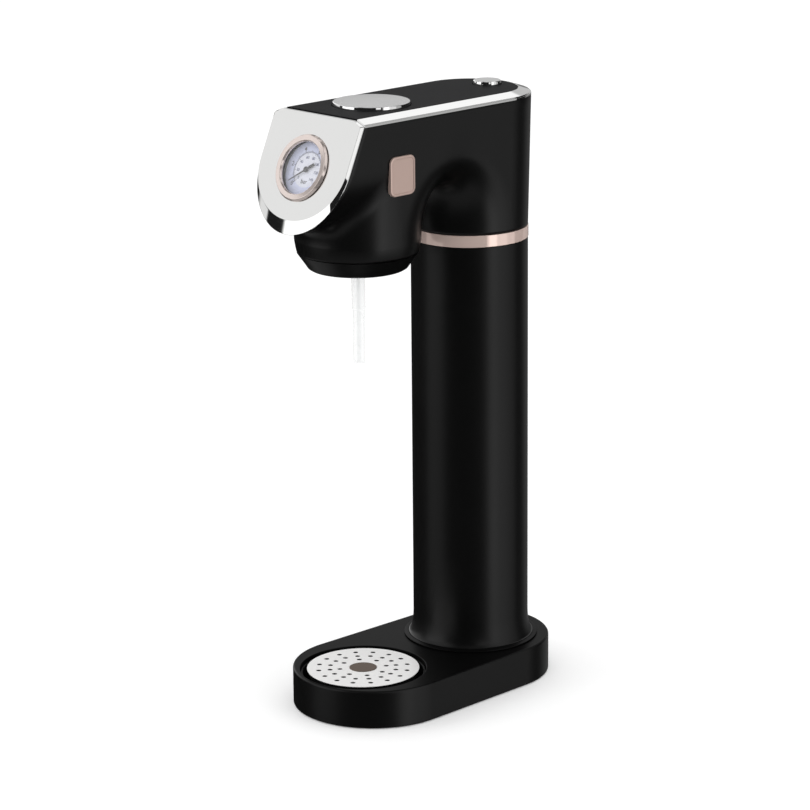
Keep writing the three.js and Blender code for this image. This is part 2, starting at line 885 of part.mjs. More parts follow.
function headForm(inset, nozzleBottom, rearBottom, top) {
  const half = headHalfWidth - inset;
  const bellyAngles = arc(0, barrelCentre, half, Math.PI, tau, midSides);
  const barrel = alongY([...bellyAngles, point(half, top), point(-half, top)],
    -fasciaReach * 2, -nozzleReach);
  const nozzle = turned([
    [0, nozzleBottom],
    [half - nozzleTuck, nozzleBottom],
    [half - nozzleTuck * nozzleCurveShare, nozzleShellBottom + nozzleBulge / 2],
    [half, nozzleShellBottom + nozzleBulge],
    [half, top],
    [0, top],
  ], wideSides).translate(0, -nozzleReach, 0);
  const rear = rod(half, rearBottom, top, wideSides);
  const bridge = cut(block(-half, half, -nozzleReach, 0, archSpring, top), archCutter(half));
  return drafted(join(barrel, nozzle, rear, bridge));
}

const frontSpace = block(-fasciaReach, fasciaReach, -fasciaReach, fasciaReach,
  -fasciaThickness - seatGap, fasciaReach).applyMatrix4(fasciaGroup.matrix);
const shellRearBottom = ringTop + seatGap;

function headShell() {
  const outer = headForm(0, nozzleShellBottom, shellRearBottom, shellTop);
  const inner = headForm(headWall, nozzleShellBottom - overrun, shellRearBottom - overrun,
    shellTop + overrun);
  return cut(outer, inner, frontSpace);
}

function sideBadge() {
  const half = badgeWidth / 2 - badgeCorner;
  const rise = badgeHeight / 2 - badgeCorner;
  const turns = [[half, rise], [-half, rise], [-half, -rise], [half, -rise]];
  const corners = turns.map(([along, up], i) => arc(-nozzleReach + along, badgeCentre + up, badgeCorner,
    (Math.PI / 2) * i, (Math.PI / 2) * (i + 1), roundSteps));
  const face = headHalfWidth + seatGap + badgeThickness;
  const plate = acrossX(corners.flat(), headHalfWidth / 2, face);
  return cut(plate, headForm(-seatGap, nozzleShellBottom, shellRearBottom, shellTop));
}

add("head_shell", headShell(), finishes.satinBlack);
add("side_badge", sideBadge(), finishes.roseGold);

// Chrome trim and top cover

const trimBottom = shellTop + seatGap;
const coverBottom = coverTop - coverThickness;
const coverFront = fasciaCapReach - seatGap;

function topTrim() {
  const section = [
    [coverHalfWidth - trimLedge, trimBottom],
    [headHalfWidth, trimBottom],
    [headHalfWidth, coverTop - trimEdgeDrop],
    [trimShoulder, coverTop - trimShoulderDrop],
    [coverHalfWidth + seatGap, coverTop],
    [coverHalfWidth + seatGap, coverBottom - seatGap],
    [coverHalfWidth - trimLedge, coverBottom - seatGap],
  ];
  const straight = (side) => section.map(([d, z]) => new THREE.Vector3(side * d, -coverFront, z));
  const turn = Array.from({ length: rearTurnSteps + 1 }, (_, i) => {
    const angle = (Math.PI * i) / rearTurnSteps;
    return section.map(([d, z]) => new THREE.Vector3(d * Math.cos(angle), d * Math.sin(angle), z));
  });
  return lofted([straight(1), ...turn, straight(-1)], (p) => point(p.x, p.z));
}

function topCover() {
  const outline = [
    point(-coverHalfWidth, -coverFront),
    point(coverHalfWidth, -coverFront),
    ...arc(0, 0, coverHalfWidth, 0, Math.PI, rearTurnSteps),
  ];
  const buttonHole = rodAt(0, -buttonReach, buttonRadius + slideGap, coverBottom - overrun,
    coverTop + overrun, wideSides);
  const knobHole = rodAt(0, knobReach, knobRadius + slideGap, coverBottom - overrun,
    coverTop + overrun, midSides);
  return cut(raised(outline, coverBottom, coverTop), buttonHole, knobHole);
}

add("top_trim", topTrim(), finishes.chrome);
add("top_cover", topCover(), finishes.coverBlack);

// Fascia plate, drawn in its own tilted plane with +Z out of its face

const slope = 1 / Math.cos(radians(fasciaTilt));

function fasciaOutline(rimShare) {
  const inner = 1 - rimShare;
  const half = headHalfWidth - fasciaSideRim * inner;
  const top = -fasciaTopRim * inner;
  const straightEnd = -(coverTop - barrelCentre) * slope;
  const footDrop = headHalfWidth * slope - fasciaFootRim * inner;
  const belly = Array.from({ length: midSides + 1 }, (_, i) => {
    const angle = (-Math.PI * i) / midSides;
    return point(half * Math.cos(angle), straightEnd + footDrop * Math.sin(angle));
  });
  const rightTop = [
    point(coverHalfWidth + seatGap, top),
    point(trimShoulder - fasciaSideRim * inner, top - trimShoulderDrop * slope),
    point(half, top - trimEdgeDrop * slope),
  ];
  const leftTop = rightTop.map((p) => point(-p.x, p.y)).reverse();
  return [...rightTop, ...belly, ...leftTop];
}

function frontFascia() {
  const rimRings = Array.from({ length: roundSteps + 1 }, (_, i) => {
    const turn = (Math.PI / 2) * (i / roundSteps);
    return { rimShare: Math.sin(turn), depth: fasciaRimDepth * (1 - Math.cos(turn)) };
  });
  const rings = [...rimRings, { rimShare: 1, depth: fasciaThickness }].map(({ rimShare, depth }) =>
    fasciaOutline(rimShare).map((p) => new THREE.Vector3(p.x, p.y, -depth)));
  const capFront = fasciaReach - fasciaThickness * slope * capRootShare;
  const capSide = [
    point(headHalfWidth, trimBottom),
    point(headHalfWidth, coverTop - trimEdgeDrop),
    point(trimShoulder, coverTop - trimShoulderDrop),
    point(coverHalfWidth + seatGap, coverTop),
  ];
  const cap = alongY([...capSide, ...capSide.map((p) => point(-p.x, p.y)).reverse()],
    -capFront, -fasciaCapReach).applyMatrix4(fasciaGroup.matrix.clone().invert());
  const gaugeHole = rodAt(0, -gaugeDrop, caseRadius + seatGap, -fasciaThickness * 2, fasciaThickness,
    wideSides);
  return cut(join(lofted(rings, flatZ), cap), gaugeHole);
}

add("front_fascia", frontFascia(), finishes.chrome, fasciaGroup);

// Lever that carries the button's push back to the cylinder's pin

const leverBottom = pivotHeight - leverThickness / 2;
const leverTop = leverBottom + leverThickness;
const blockBottom = valveBodyTop + seatGap;
const blockFlangeTop = blockBottom + blockFlangeThickness;
const pivotHole = pivotPinRadius + seatGap;

function actuatingLever() {
  const right = [
    point(leverTipHalfWidth, -leverTipReach),
    point(leverHalfWidth, -leverBridge * 2),
    point(leverForkOuter, -leverBridge),
    point(leverForkOuter, pivotReach),
    point(leverForkInner, pivotReach),
    point(leverForkInner, leverBridge),
  ];
  const left = right.map((p) => point(-p.x, p.y)).reverse();
  const plate = raised([...right, ...left], leverBottom, leverTop);
  const eye = circle(pivotReach, pivotHeight, pivotEye, smallSides);
  const hole = circle(pivotReach, pivotHeight, pivotHole, tinySides);
  const rib = block(-leverRibHalfWidth, leverRibHalfWidth, stemRadius * 2 - buttonReach, 0,
    leverBottom, leverTop + leverRibHeight);
  const body = join(plate, acrossX(eye, leverForkInner, leverForkOuter),
    acrossX(eye, -leverForkOuter, -leverForkInner), rib);
  return cut(body, acrossX(hole, -leverForkOuter - overrun, leverForkOuter + overrun));
}

function valveBlock() {
  const noseBore = valveTipRadius + seatGap;
  const sealRoom = valveTop + sealThickness + seatGap * 2;
  const pinBore = pinRadius + seatGap;
  const body = turned([
    [noseBore, blockBottom],
    [blockFlangeRadius, blockBottom],
    [blockFlangeRadius, blockFlangeTop],
    [blockRadius, blockFlangeTop],
    [blockRadius, blockTop - blockHeadThickness],
    [blockHeadRadius, blockTop - blockHeadThickness],
    [blockHeadRadius, blockTop],
    [pinBore, blockTop],
    [pinBore, sealRoom],
    [noseBore, sealRoom],
    [noseBore, blockBottom],
  ], hiddenSides);
  const ear = (from, to) => {
    const top = arc(pivotReach, pivotHeight, earHalfLength, 0, Math.PI, roundSteps * 2);
    const foot = blockFlangeTop - seatGap;
    return acrossX([...top, point(pivotReach - earHalfLength, foot), point(pivotReach + earHalfLength, foot)],
      from, to);
  };
  const earOuter = earInner + earThickness;
  const hole = acrossX(circle(pivotReach, pivotHeight, pivotHole, tinySides),
    -earOuter - overrun, earOuter + overrun);
  return cut(join(body, ear(earInner, earOuter), ear(-earOuter, -earInner)), hole);
}

function pushPin() {
  const top = leverBottom - seatGap;
  return turned([
    [0, cylinderPinTop + seatGap],
    [pinRadius, cylinderPinTop + seatGap],
    [pinRadius, top - pinHeadHeight],
    [pinHeadRadius, top - pinHeadHeight],
    [pinHeadRadius, top],
    [0, top],
  ], tinySides);
}

const pivotPin = acrossX(circle(pivotReach, pivotHeight, pivotPinRadius, tinySides),
  -earInner - earThickness, earInner + earThickness);
const cylinderSeal = ring(pinRadius + seatGap, valveTipRadius - valveEdge, valveTop + seatGap,
  valveTop + seatGap + sealThickness, smallSides);

add("valve_block", valveBlock(), finishes.brass);
add("cylinder_seal", cylinderSeal, finishes.rubber);
add("push_pin", pushPin(), finishes.steel);
add("actuating_lever", actuatingLever(), finishes.steel);
add("lever_pivot_pin", pivotPin, finishes.steel);

// Carbonation button, modelled on its own axis

const capUnderside = buttonTop - buttonWall;
const stemFlangeTop = capUnderside - seatGap;
const stemFlangeBottom = stemFlangeTop - stemFlangeThickness;
const guideFloorTop = guideFloor + guideFloorThickness;

const buttonCap = turned([
  [0, capUnderside],
  [buttonRadius - buttonWall, capUnderside],
  [buttonRadius - buttonWall, buttonTop - buttonDepth],
  [buttonRadius, buttonTop - buttonDepth],
  [buttonRadius, buttonTop - buttonEdge],
  [buttonRadius - buttonEdge, buttonTop],
  [0, buttonTop],
], wideSides);

const buttonStem = turned([
  [0, leverTop + seatGap],
  [stemRadius, leverTop + seatGap],
  [stemRadius, stemFlangeBottom],
  [stemFlangeRadius, stemFlangeBottom],
  [stemFlangeRadius, stemFlangeTop],
  [0, stemFlangeTop],
], smallSides);

const guideInner = buttonRadius + slideGap;
const guideTopFace = coverBottom - seatGap;
const buttonGuide = turned([
  [stemRadius + slideGap, guideFloor],
  [guideInner + guideRingWall, guideFloor],
  [guideInner + guideRingWall, guideTopFace - guideRingFlange],
  [guideInner + guideRingWall + guideRingFlange, guideTopFace - guideRingFlange],
  [guideInner + guideRingWall + guideRingFlange, guideTopFace],
  [guideInner, guideTopFace],
  [guideInner, guideFloorTop],
  [stemRadius + slideGap, guideFloorTop],
  [stemRadius + slideGap, guideFloor],
], wideSides);

[
  ["button_cap", buttonCap, finishes.satinSilver],
  ["button_stem", buttonStem, finishes.plasticGrey],
  ["button_guide", buttonGuide, finishes.plasticBlack],
  ["button_spring", coilSpring(buttonSpringRadius, guideFloorTop + seatGap, stemFlangeBottom - seatGap),
    finishes.steel],
].forEach(([name, geometry, look]) => {
  add(name, geometry, look).position.y = -buttonReach;
});

// Pressure release knob, modelled on its own axis

const releaseKnob = turned([
  [0, knobRodBottom],
  [knobRodRadius, knobRodBottom],
  [knobRodRadius, knobShoulder],
  [knobRadius, knobShoulder],
  [knobRadius, knobTop - knobEdge],
  [knobRadius - knobEdge, knobTop],
  [0, knobTop],
], midSides);

const reliefBore = knobRadius + seatGap;
const rodBore = knobRodRadius + seatGap;
const reliefBody = turned([
  [0, blockTop + seatGap],
  [reliefRadius, blockTop + seatGap],
  [reliefRadius, reliefFloor - reliefCupFloor],
  [reliefCupRadius, reliefFloor - reliefCupFloor],
  [reliefCupRadius, coverBottom - seatGap],
  [reliefBore, coverBottom - seatGap],
  [reliefBore, reliefFloor],
  [rodBore, reliefFloor],
  [rodBore, reliefFloor - reliefBoreDepth],
  [0, reliefFloor - reliefBoreDepth],
], hiddenSides);

[
  ["release_knob", releaseKnob, finishes.chrome],
  ["relief_valve_body", reliefBody, finishes.brass],
  ["release_spring", coilSpring(reliefSpringRadius, reliefFloor + seatGap, knobShoulder - seatGap),
    finishes.steel],
].forEach(([name, geometry, look]) => {
  add(name, geometry, look).position.y = knobReach;
});

// Nozzle, bottle socket and carbonating tube, modelled on their own axis

const collarTop = nozzleShellBottom - seatGap;
const plateUnderside = nozzlePlateHeight;
const plateUpper = nozzlePlateHeight + nozzlePlateThickness;
const plateRadius = headHalfWidth - headWall - seatGap;

const nozzleCollar = turned([
  [bottleMouthRadius, collarBottom],
  [collarFootRadius, collarBottom],
  [collarLowRadius, collarLowHeight],
  [collarMidRadius, collarMidHeight],
  [headHalfWidth - nozzleTuck, collarTop],
  [headHalfWidth - nozzleTuck - headWall, collarTop],
  [bottleMouthRadius, collarBottom + headWall],
  [bottleMouthRadius, collarBottom],
], wideSides);

const nozzleBody = turned([
  [hubBore, spigotBottom],
  [spigotRadius, spigotBottom],
  [spigotRadius, plateUnderside],
  [plateRadius, plateUnderside],
  [plateRadius, plateUpper],
  [hubRadius, plateUpper],
  [hubRadius, hubTop],
  [hubBore, hubTop],
  [hubBore, spigotBottom],
], hiddenSides);

function bottleSocket() {
  const thread = Array.from({ length: threadTurns }, (_, i) => {
    const low = socketBottom + threadPitch * (i + threadStartShare);
    return [
      [socketBore, low + threadPitch * threadCrestShare],
      [socketBore - threadDepth, low + (threadPitch * threadCrestShare) / 2],
      [socketBore, low],
    ];
  }).reverse().flat();
  const top = plateUnderside - seatGap;
  return turned([
    [socketBore, socketBottom],
    [socketBore + socketWall, socketBottom],
    [socketBore + socketWall, top],
    [socketBore, top],
    ...thread,
    [socketBore, socketBottom],
  ], hiddenSides);
}

const carbonatingTube = turned([
  [tubeBore, tubeTip],
  [tubeLowRadius - tubeTipRound, tubeTip],
  [tubeLowRadius, tubeTip + tubeTipRound],
  [tubeLowRadius, tubeStep],
  [tubeRadius, tubeStep + tubeTipRound],
  [tubeRadius, tubeTop],
  [spigotRadius + seatGap, tubeTop],
  [spigotRadius + seatGap, spigotBottom - seatGap],
  [tubeBore, spigotBottom - seatGap],
  [tubeBore, tubeTip],
], smallSides);

[
  ["nozzle_collar", nozzleCollar, finishes.satinBlack],
  ["nozzle_body", nozzleBody, finishes.plasticGrey],
  ["bottle_socket", bottleSocket(), finishes.plasticBlack],
  ["bottle_seal", ring(sealInner, sealOuter, sealBottom, plateUnderside - seatGap, hiddenSides),
    finishes.rubber],
  ["tube_nut", ring(spigotRadius + seatGap, tubeNutRadius, tubeTop + seatGap, plateUnderside - seatGap,
    smallSides), finishes.plasticGrey],
  ["carbonating_tube", carbonatingTube, finishes.clearTube],
].forEach(([name, geometry, look]) => {
  add(name, geometry, look).position.y = -nozzleReach;
});

const safetyValve = turned([
  [0, plateUpper + seatGap],
  [safetyValveRadius, plateUpper + seatGap],
  [safetyValveRadius, plateUpper + safetyValveHeight],
  [safetyValveRadius / 2, plateUpper + safetyValveHeight],
  [safetyValveRadius / 2, plateUpper + safetyValveHeight + safetyValveRadius],
  [0, plateUpper + safetyValveHeight + safetyValveRadius],
], tinySides);
add("safety_valve", safetyValve, finishes.brass)
  .position.set(safetyValveSide, safetyValveSetback - nozzleReach, 0);

// Gas lines from the valve block and the gauge to the nozzle hub

const blockPort = -(blockRadius + blockHeadRadius) / 2;
const hubPort = hubRadius / 2;
const gaugePortEnd = new THREE.Vector3(0, -gaugeDrop, -caseDepth - gaugePortLength - seatGap)
  .applyMatrix4(fasciaGroup.matrix);
const gaugeOut = new THREE.Vector3(0, 0, -hubPort).transformDirection(fasciaGroup.matrix);

const gasLine = tubeThrough([
  [0, blockPort, blockTop + seatGap],
  [0, blockPort, blockTop + seatGap + lineRadius],
  [0, blockPort - lineRadius, gasLineHeight - lineRadius / 2],
  [0, blockPort - hubRadius, gasLineHeight],
  [0, hubRadius - nozzleReach + hubPort, gasLineHeight],
  [0, hubPort - nozzleReach + lineRadius, gasLineHeight - hubPort],
  [0, hubPort - nozzleReach, hubTop + hubPort],
  [0, hubPort - nozzleReach, hubTop + seatGap],
], lineRadius, lineSteps);

const gaugeLine = tubeThrough([
  [0, gaugePortEnd.y, gaugePortEnd.z],
  [0, gaugePortEnd.y + gaugeOut.y * hubPort, gaugePortEnd.z + gaugeOut.z * hubPort],
  [0, -nozzleReach - hubPort, hubTop + hubPort],
  [0, -nozzleReach - hubPort, hubTop + seatGap],
], lineRadius, lineSteps);

add("gas_line", gasLine, finishes.steel);
add("gauge_line", gaugeLine, finishes.steel);

// Pressure gauge, in the fascia's plane and centred on its own axis

const gaugeGroup = new THREE.Group();
gaugeGroup.position.y = -gaugeDrop;
fasciaGroup.add(gaugeGroup);

const caseBore = caseRadius - caseWall;
const innerRadius = caseBore - seatGap;
const portHole = gaugePortRadius + seatGap;
const caseFloor = caseWall - caseDepth;
const movementPlateBottom = -movementPlateDepth - movementPlateThickness;
const gearBottom = -gearDepth - gearThickness;
const pinionPitch = (gearModule * pinionTeeth) / 2;
const sectorTeeth = pinionTeeth * gearRatio;
const sectorPitch = pinionPitch * gearRatio;
const sectorPivot = -(pinionPitch + sectorPitch);

const gaugeCase = turned([
  [portHole, -caseDepth],
  [caseRadius, -caseDepth],
  [caseRadius, 0],
  [caseBore, 0],
  [caseBore, caseFloor],
  [portHole, caseFloor],
  [portHole, -caseDepth],
], midSides);

const gaugeBezel = turned([
  [glassRadius, seatGap],
  [bezelRadius, seatGap],
  [bezelRadius, seatGap + bezelProud / 2],
  [bezelRadius - bezelProud / 2, seatGap + bezelProud],
  [glassRadius + bezelProud, seatGap + bezelProud],
  [glassRadius, seatGap + bezelProud / 2],
  [glassRadius, seatGap],
], wideSides);

const gaugeFrame = join(
  rod(innerRadius, movementPlateBottom, -movementPlateDepth, hiddenSides),
  rod(gaugePortRadius, -caseDepth - gaugePortLength, movementPlateBottom + movementPlateThickness / 2,
    smallSides),
  rodAt(0, sectorPivot, arborRadius, -movementPlateDepth - movementPlateThickness / 2, -gearDepth, tinySides),
);

function gearOutline(teeth, phase) {
  const pitch = (gearModule * teeth) / 2;
  const outer = pitch + gearModule * gearTipShare;
  const root = pitch - gearModule * gearRootShare;
  const step = tau / teeth;
  return Array.from({ length: teeth }, (_, i) => i).flatMap((i) => [
    [root, -gearBaseShare],
    [outer, -gearCrestShare],
    [outer, gearCrestShare],
    [root, gearBaseShare],
  ].map(([radius, share]) => {
    const angle = phase + step * (i + share);
    return point(radius * Math.cos(angle), radius * Math.sin(angle));
  }));
}

function gaugePinion() {
  const toSector = -Math.PI / 2 + Math.PI / pinionTeeth;
  const gear = raised(gearOutline(pinionTeeth, toSector), gearBottom, -gearDepth);
  return join(gear, rod(arborRadius, gearBottom, -needleDepth - needleThickness - seatGap, tinySides));
}

function sectorGear() {
  const gear = raised(gearOutline(sectorTeeth, Math.PI / 2), gearBottom, -gearDepth);
  const middle = Math.PI / 2 - radians(sectorSweep / 2);
  const spread = radians(sectorSweep / 2) + (tau / sectorTeeth) * sectorMarginShare;
  const fan = arc(0, 0, sectorPitch * 2, middle - spread, middle + spread, roundSteps * 2);
  const wedge = raised([point(0, 0), ...fan], gearBottom - overrun, -gearDepth + overrun);
  const tailAngle = middle - Math.PI / 2;
  const tail = block(0, linkPinReach + linkHalfWidth, -linkHalfWidth, linkHalfWidth, gearBottom, -gearDepth)
    .rotateZ(tailAngle);
  const windowRim = sectorPitch * sectorRimShare;
  const windowSpread = spread * sectorRimShare;
  const window = raised([
    ...arc(0, 0, windowRim, middle - windowSpread, middle + windowSpread, roundSteps * 2),
    ...arc(0, 0, sectorHub * 2, middle + spread / 2, middle - spread / 2, roundSteps),
  ], gearBottom - overrun, -gearDepth + overrun);
  const hub = rod(sectorHub, gearBottom, -gearDepth, smallSides);
  const hole = rod(arborRadius + seatGap, gearBottom - overrun, -gearDepth + overrun, tinySides);
  return cut(join(cut(common(gear, wedge), window), hub, tail), hole);
}

function gaugeLink() {
  const tailAngle = -radians(sectorSweep / 2);
  const startX = linkPinReach * Math.cos(tailAngle);
  const startY = sectorPivot + linkPinReach * Math.sin(tailAngle);
  const low = -gearDepth + seatGap;
  return block(-linkHalfWidth, linkLength, -linkHalfWidth, linkHalfWidth, low, low + linkThickness)
    .rotateZ(radians(linkAngle))
    .translate(startX, startY, 0);
}

function bourdonTube() {
  class Bend extends THREE.Curve {
    getPoint(share, target = new THREE.Vector3()) {
      const angle = Math.PI / 2 + radians(bourdonSweep) * (1 / 2 - share);
      return target.set(bourdonRadius * Math.cos(angle), bourdonRadius * Math.sin(angle), -bourdonDepth);
    }
  }
  const section = new THREE.Shape(circle(0, 0, bourdonTubeRadius, lineSides));
  return closed(new THREE.ExtrudeGeometry(section, { steps: bourdonSteps, extrudePath: new Bend() }));
}

function gaugeNeedle() {
  const outline = [
    point(-needleTail, -needleHalfWidth * 2),
    point(needleTip, -needleHalfWidth / 3),
    point(needleTip, needleHalfWidth / 3),
    point(-needleTail, needleHalfWidth * 2),
  ];
  const low = -needleDepth - needleThickness;
  const hub = rod(needleHub, low, -needleDepth + needleThickness, smallSides);
  return join(raised(outline, low, -needleDepth), hub).rotateZ(radians(needleRest));
}

const lensTop = -lensDepth;
const dialHole = arborRadius + seatGap;
[
  ["gauge_case", gaugeCase, finishes.plasticBlack],
  ["gauge_bezel", gaugeBezel, finishes.roseGold],
  ["gauge_lens", rod(innerRadius, lensTop - lensThickness, lensTop, midSides), finishes.glass],
  ["gauge_dial", ring(dialHole, innerRadius, -dialDepth - dialThickness, -dialDepth, midSides),
    finishes.dialWhite],
  ["gauge_frame", gaugeFrame, finishes.brass],
  ["bourdon_tube", bourdonTube(), finishes.brass],
  ["gauge_pinion", gaugePinion(), finishes.brass],
  ["gauge_needle", gaugeNeedle(), finishes.needleBlack],
  ["gauge_link", gaugeLink(), finishes.steel],
].forEach(([name, geometry, look]) => add(name, geometry, look, gaugeGroup));
add("sector_gear", sectorGear(), finishes.brass, gaugeGroup).position.y = sectorPivot;

// The origin is under the middle of the whole form

assembly.updateMatrixWorld(true);
assembly.position.y = -new THREE.Box3().setFromObject(assembly).getCenter(new THREE.Vector3()).y;

export default assembly;
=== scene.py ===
import math

import bmesh
import bpy
from mathutils import Matrix, Vector, geometry


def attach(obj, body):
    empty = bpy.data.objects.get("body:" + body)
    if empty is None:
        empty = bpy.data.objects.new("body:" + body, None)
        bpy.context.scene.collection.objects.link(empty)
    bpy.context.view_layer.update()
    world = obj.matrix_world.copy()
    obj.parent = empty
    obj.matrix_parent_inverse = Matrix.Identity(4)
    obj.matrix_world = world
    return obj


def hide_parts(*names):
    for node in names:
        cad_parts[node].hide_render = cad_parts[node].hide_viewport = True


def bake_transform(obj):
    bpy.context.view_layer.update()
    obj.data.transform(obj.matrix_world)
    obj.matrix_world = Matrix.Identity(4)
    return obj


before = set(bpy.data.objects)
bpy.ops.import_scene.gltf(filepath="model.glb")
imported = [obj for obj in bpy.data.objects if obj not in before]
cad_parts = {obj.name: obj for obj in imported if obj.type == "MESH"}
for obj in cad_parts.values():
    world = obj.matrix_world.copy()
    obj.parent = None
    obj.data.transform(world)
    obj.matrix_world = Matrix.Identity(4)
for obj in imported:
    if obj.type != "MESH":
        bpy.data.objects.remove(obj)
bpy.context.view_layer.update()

print("frame loaded,", len(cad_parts), "nodes")

# Every piece is drawn in millimetres on the column's axis, front towards -Y, and set in the frame by a matrix
layout = {
    "columnY": 57.6512,  # where the column's axis stands in the frame
    "nozzleReach": 104.0,
    "coverTop": 413.4,
    "shellTop": 408.6,
    "fasciaReach": 137.0,
    "fasciaTilt": 24.0,
    "fasciaBack": 2.6,  # where shell, trim and cover meet the fascia, behind its face
    "deckTop": 26.75,
    "buttonReach": 90.2,
    "buttonWall": 415.3,  # below this height the button shows its polished wall
    "dullBand": (26.4, 28.6),  # heights between which deck and column's foot shine less
    "dullShare": 0.65,
}
columnFrame = Matrix.Scale(0.001, 4) @ Matrix.Translation((0, layout["columnY"], 0))
nozzleFrame = columnFrame @ Matrix.Translation((0, -layout["nozzleReach"], 0))
fasciaFrame = (columnFrame @ Matrix.Translation((0, -layout["fasciaReach"], layout["coverTop"]))
               @ Matrix.Rotation(math.radians(90 - layout["fasciaTilt"]), 4, "X"))
fasciaSlope = 1 / math.cos(math.radians(layout["fasciaTilt"]))


# Shader maths as plain expressions

class Wire:
    def __init__(self, tree, socket):
        self.tree = tree
        self.socket = socket

    def maths(self, operation, first, second, clamp=False):
        node = self.tree.nodes.new("ShaderNodeMath")
        node.operation = operation
        node.use_clamp = clamp
        for socket, value in zip(node.inputs, (first, second)):
            if isinstance(value, Wire):
                self.tree.links.new(value.socket, socket)
            else:
                socket.default_value = value
        return Wire(self.tree, node.outputs[0])

    def __add__(self, other):
        return self.maths("ADD", self, other)

    def __radd__(self, other):
        return self.maths("ADD", other, self)

    def __sub__(self, other):
        return self.maths("SUBTRACT", self, other)

    def __rsub__(self, other):
        return self.maths("SUBTRACT", other, self)

    def __mul__(self, other):
        return self.maths("MULTIPLY", self, other)

    def __rmul__(self, other):
        return self.maths("MULTIPLY", other, self)

    def __truediv__(self, other):
        return self.maths("DIVIDE", self, other)

    def __rtruediv__(self, other):
        return self.maths("DIVIDE", other, self)

    def __pow__(self, other):
        return self.maths("POWER", self, other)

    def __gt__(self, other):
        return self.maths("GREATER_THAN", self, other)

    def __lt__(self, other):
        return self.maths("LESS_THAN", self, other)

    def clamped(self):
        return self.maths("ADD", self, 0.0, clamp=True)


class NodeTree:
    def __init__(self, tree):
        self.tree = tree

    def node(self, kind, settings=None, inputs=None, output=0):
        made = self.tree.nodes.new("ShaderNode" + kind)
        for key, value in (settings or {}).items():
            setattr(made, key, value)
        for key, value in (inputs or {}).items():
            self.feed(made.inputs[key], value)
        return Wire(self.tree, made.outputs[output])

    def feed(self, socket, value):
        if isinstance(value, Wire):
            self.tree.links.new(value.socket, socket)
        else:
            socket.default_value = value

    def where(self):  # place on the object, in metres
        return self.node("TexCoord", output=3)

    def noise(self, scale, detail=2.0):
        return self.node("TexNoise", None, {"Vector": self.where(), "Scale": scale, "Detail": detail})

    def blend(self, share, first, second):  # between two colours
        return self.node("Mix", {"data_type": "RGBA"}, {0: share, 6: first, 7: second}, output=2)

    def axes(self, vector):
        split = self.node("SeparateXYZ", None, {0: vector})
        return [Wire(self.tree, socket) for socket in split.socket.node.outputs]


class Finish(NodeTree):
    def __init__(self, name, **constants):
        self.material = bpy.data.materials.new(name)
        self.material.use_nodes = True
        super().__init__(self.material.node_tree)
        self.surface = self.tree.nodes["Principled BSDF"]
        for key, value in constants.items():
            self.surface.inputs[key].default_value = value

    def set(self, **varying):
        for key, value in varying.items():
            self.feed(self.surface.inputs[key.replace("_", " ")], value)
        return self

    def deaden(self, share, shade):  # mix in a surface that has no shine at all
        flat = self.node("BsdfDiffuse", None, {"Color": shade})
        shiny = Wire(self.tree, self.surface.outputs[0])
        mixed = self.node("MixShader", None, {"Fac": share, 1: shiny, 2: flat})
        self.feed(self.tree.nodes["Material Output"].inputs["Surface"], mixed)

    def bump(self, height, distance, strength=1.0):
        made = self.node("Bump", None, {"Height": height, "Distance": distance, "Strength": strength})
        self.feed(self.surface.inputs["Normal"], made)
        return self


def colour(code):  # sRGB hex to linear
    parts = [int(code[i:i + 2], 16) / 255 for i in (0, 2, 4)]
    return (*[p / 12.92 if p <= 0.04045 else ((p + 0.055) / 1.055) ** 2.4 for p in parts], 1)


# Finishes

finishLooks = {
    "shellBlack": "080808",
    "coverBlack": "1a1a1b",
    "chrome": "f2f2f1",
    "silver": "f0f0f0",
    "roseGold": "dabfb4",
    "rosePale": "efd6cc",
    "roseBezel": "eee0da",
    "rosePolished": "65503f",
    "plate": "f4f3f2",
    "innerBlack": "101010",
    "rubberBlack": "141414",
    "plainGrey": "6a6c6e",
    "brass": "c79a4e",
    "steel": "b4b6b9",
    "aluminium": "c4c6c8",
    "dialInside": "d6dcfa",  # within the printed scale
    "dialOutside": "eceefa",
    "dialCloud": "f4f6ff",
    "ink": "14161f",
    "blueInk": "3c466e",
}


def paintedFinish(name, code, rough, grain, specular=0.12, dull=None):  # dull is two heights and a share
    made = Finish(name, **{"Specular IOR Level": specular})
    base = Vector(colour(code)[:3])
    cloud = made.noise(38.0, 3.0)
    shade = made.blend(cloud, (*(base * 0.85), 1), (*(base * 1.2), 1))
    fine = made.noise(grain, 2.0)
    smear = made.noise(14.0, 4.0)
    made.set(Base_Color=shade, Roughness=rough + (smear - 0.5) * 0.1 + (fine - 0.5) * 0.08)
    if dull:
        height = made.axes(made.where())[2]
        made.deaden((height > dull[0]) * (height < dull[1]) * dull[2], shade)
    return made.bump(fine, 0.00002, 0.35)


def platedFinish(name, code, rough, streak=None, haze=0.04, metal=1.0):
    made = Finish(name, Metallic=metal)
    base = Vector(colour(code)[:3])
    cloud = made.noise(22.0, 4.0)
    made.set(Base_Color=made.blend(cloud, (*(base * 0.96), 1), (*base, 1)),
             Roughness=(rough + (cloud - 0.5) * haze).clamped())
    if streak:
        x, y, z = made.axes(made.where())
        lines = made.node("TexNoise", None, {
            "Vector": made.node("CombineXYZ", None, {0: x * streak[0], 1: y * streak[1], 2: z * streak[2]}),
            "Scale": 1.0, "Detail": 3.0})
        made.bump(lines, 0.000012, 0.5)
    return made


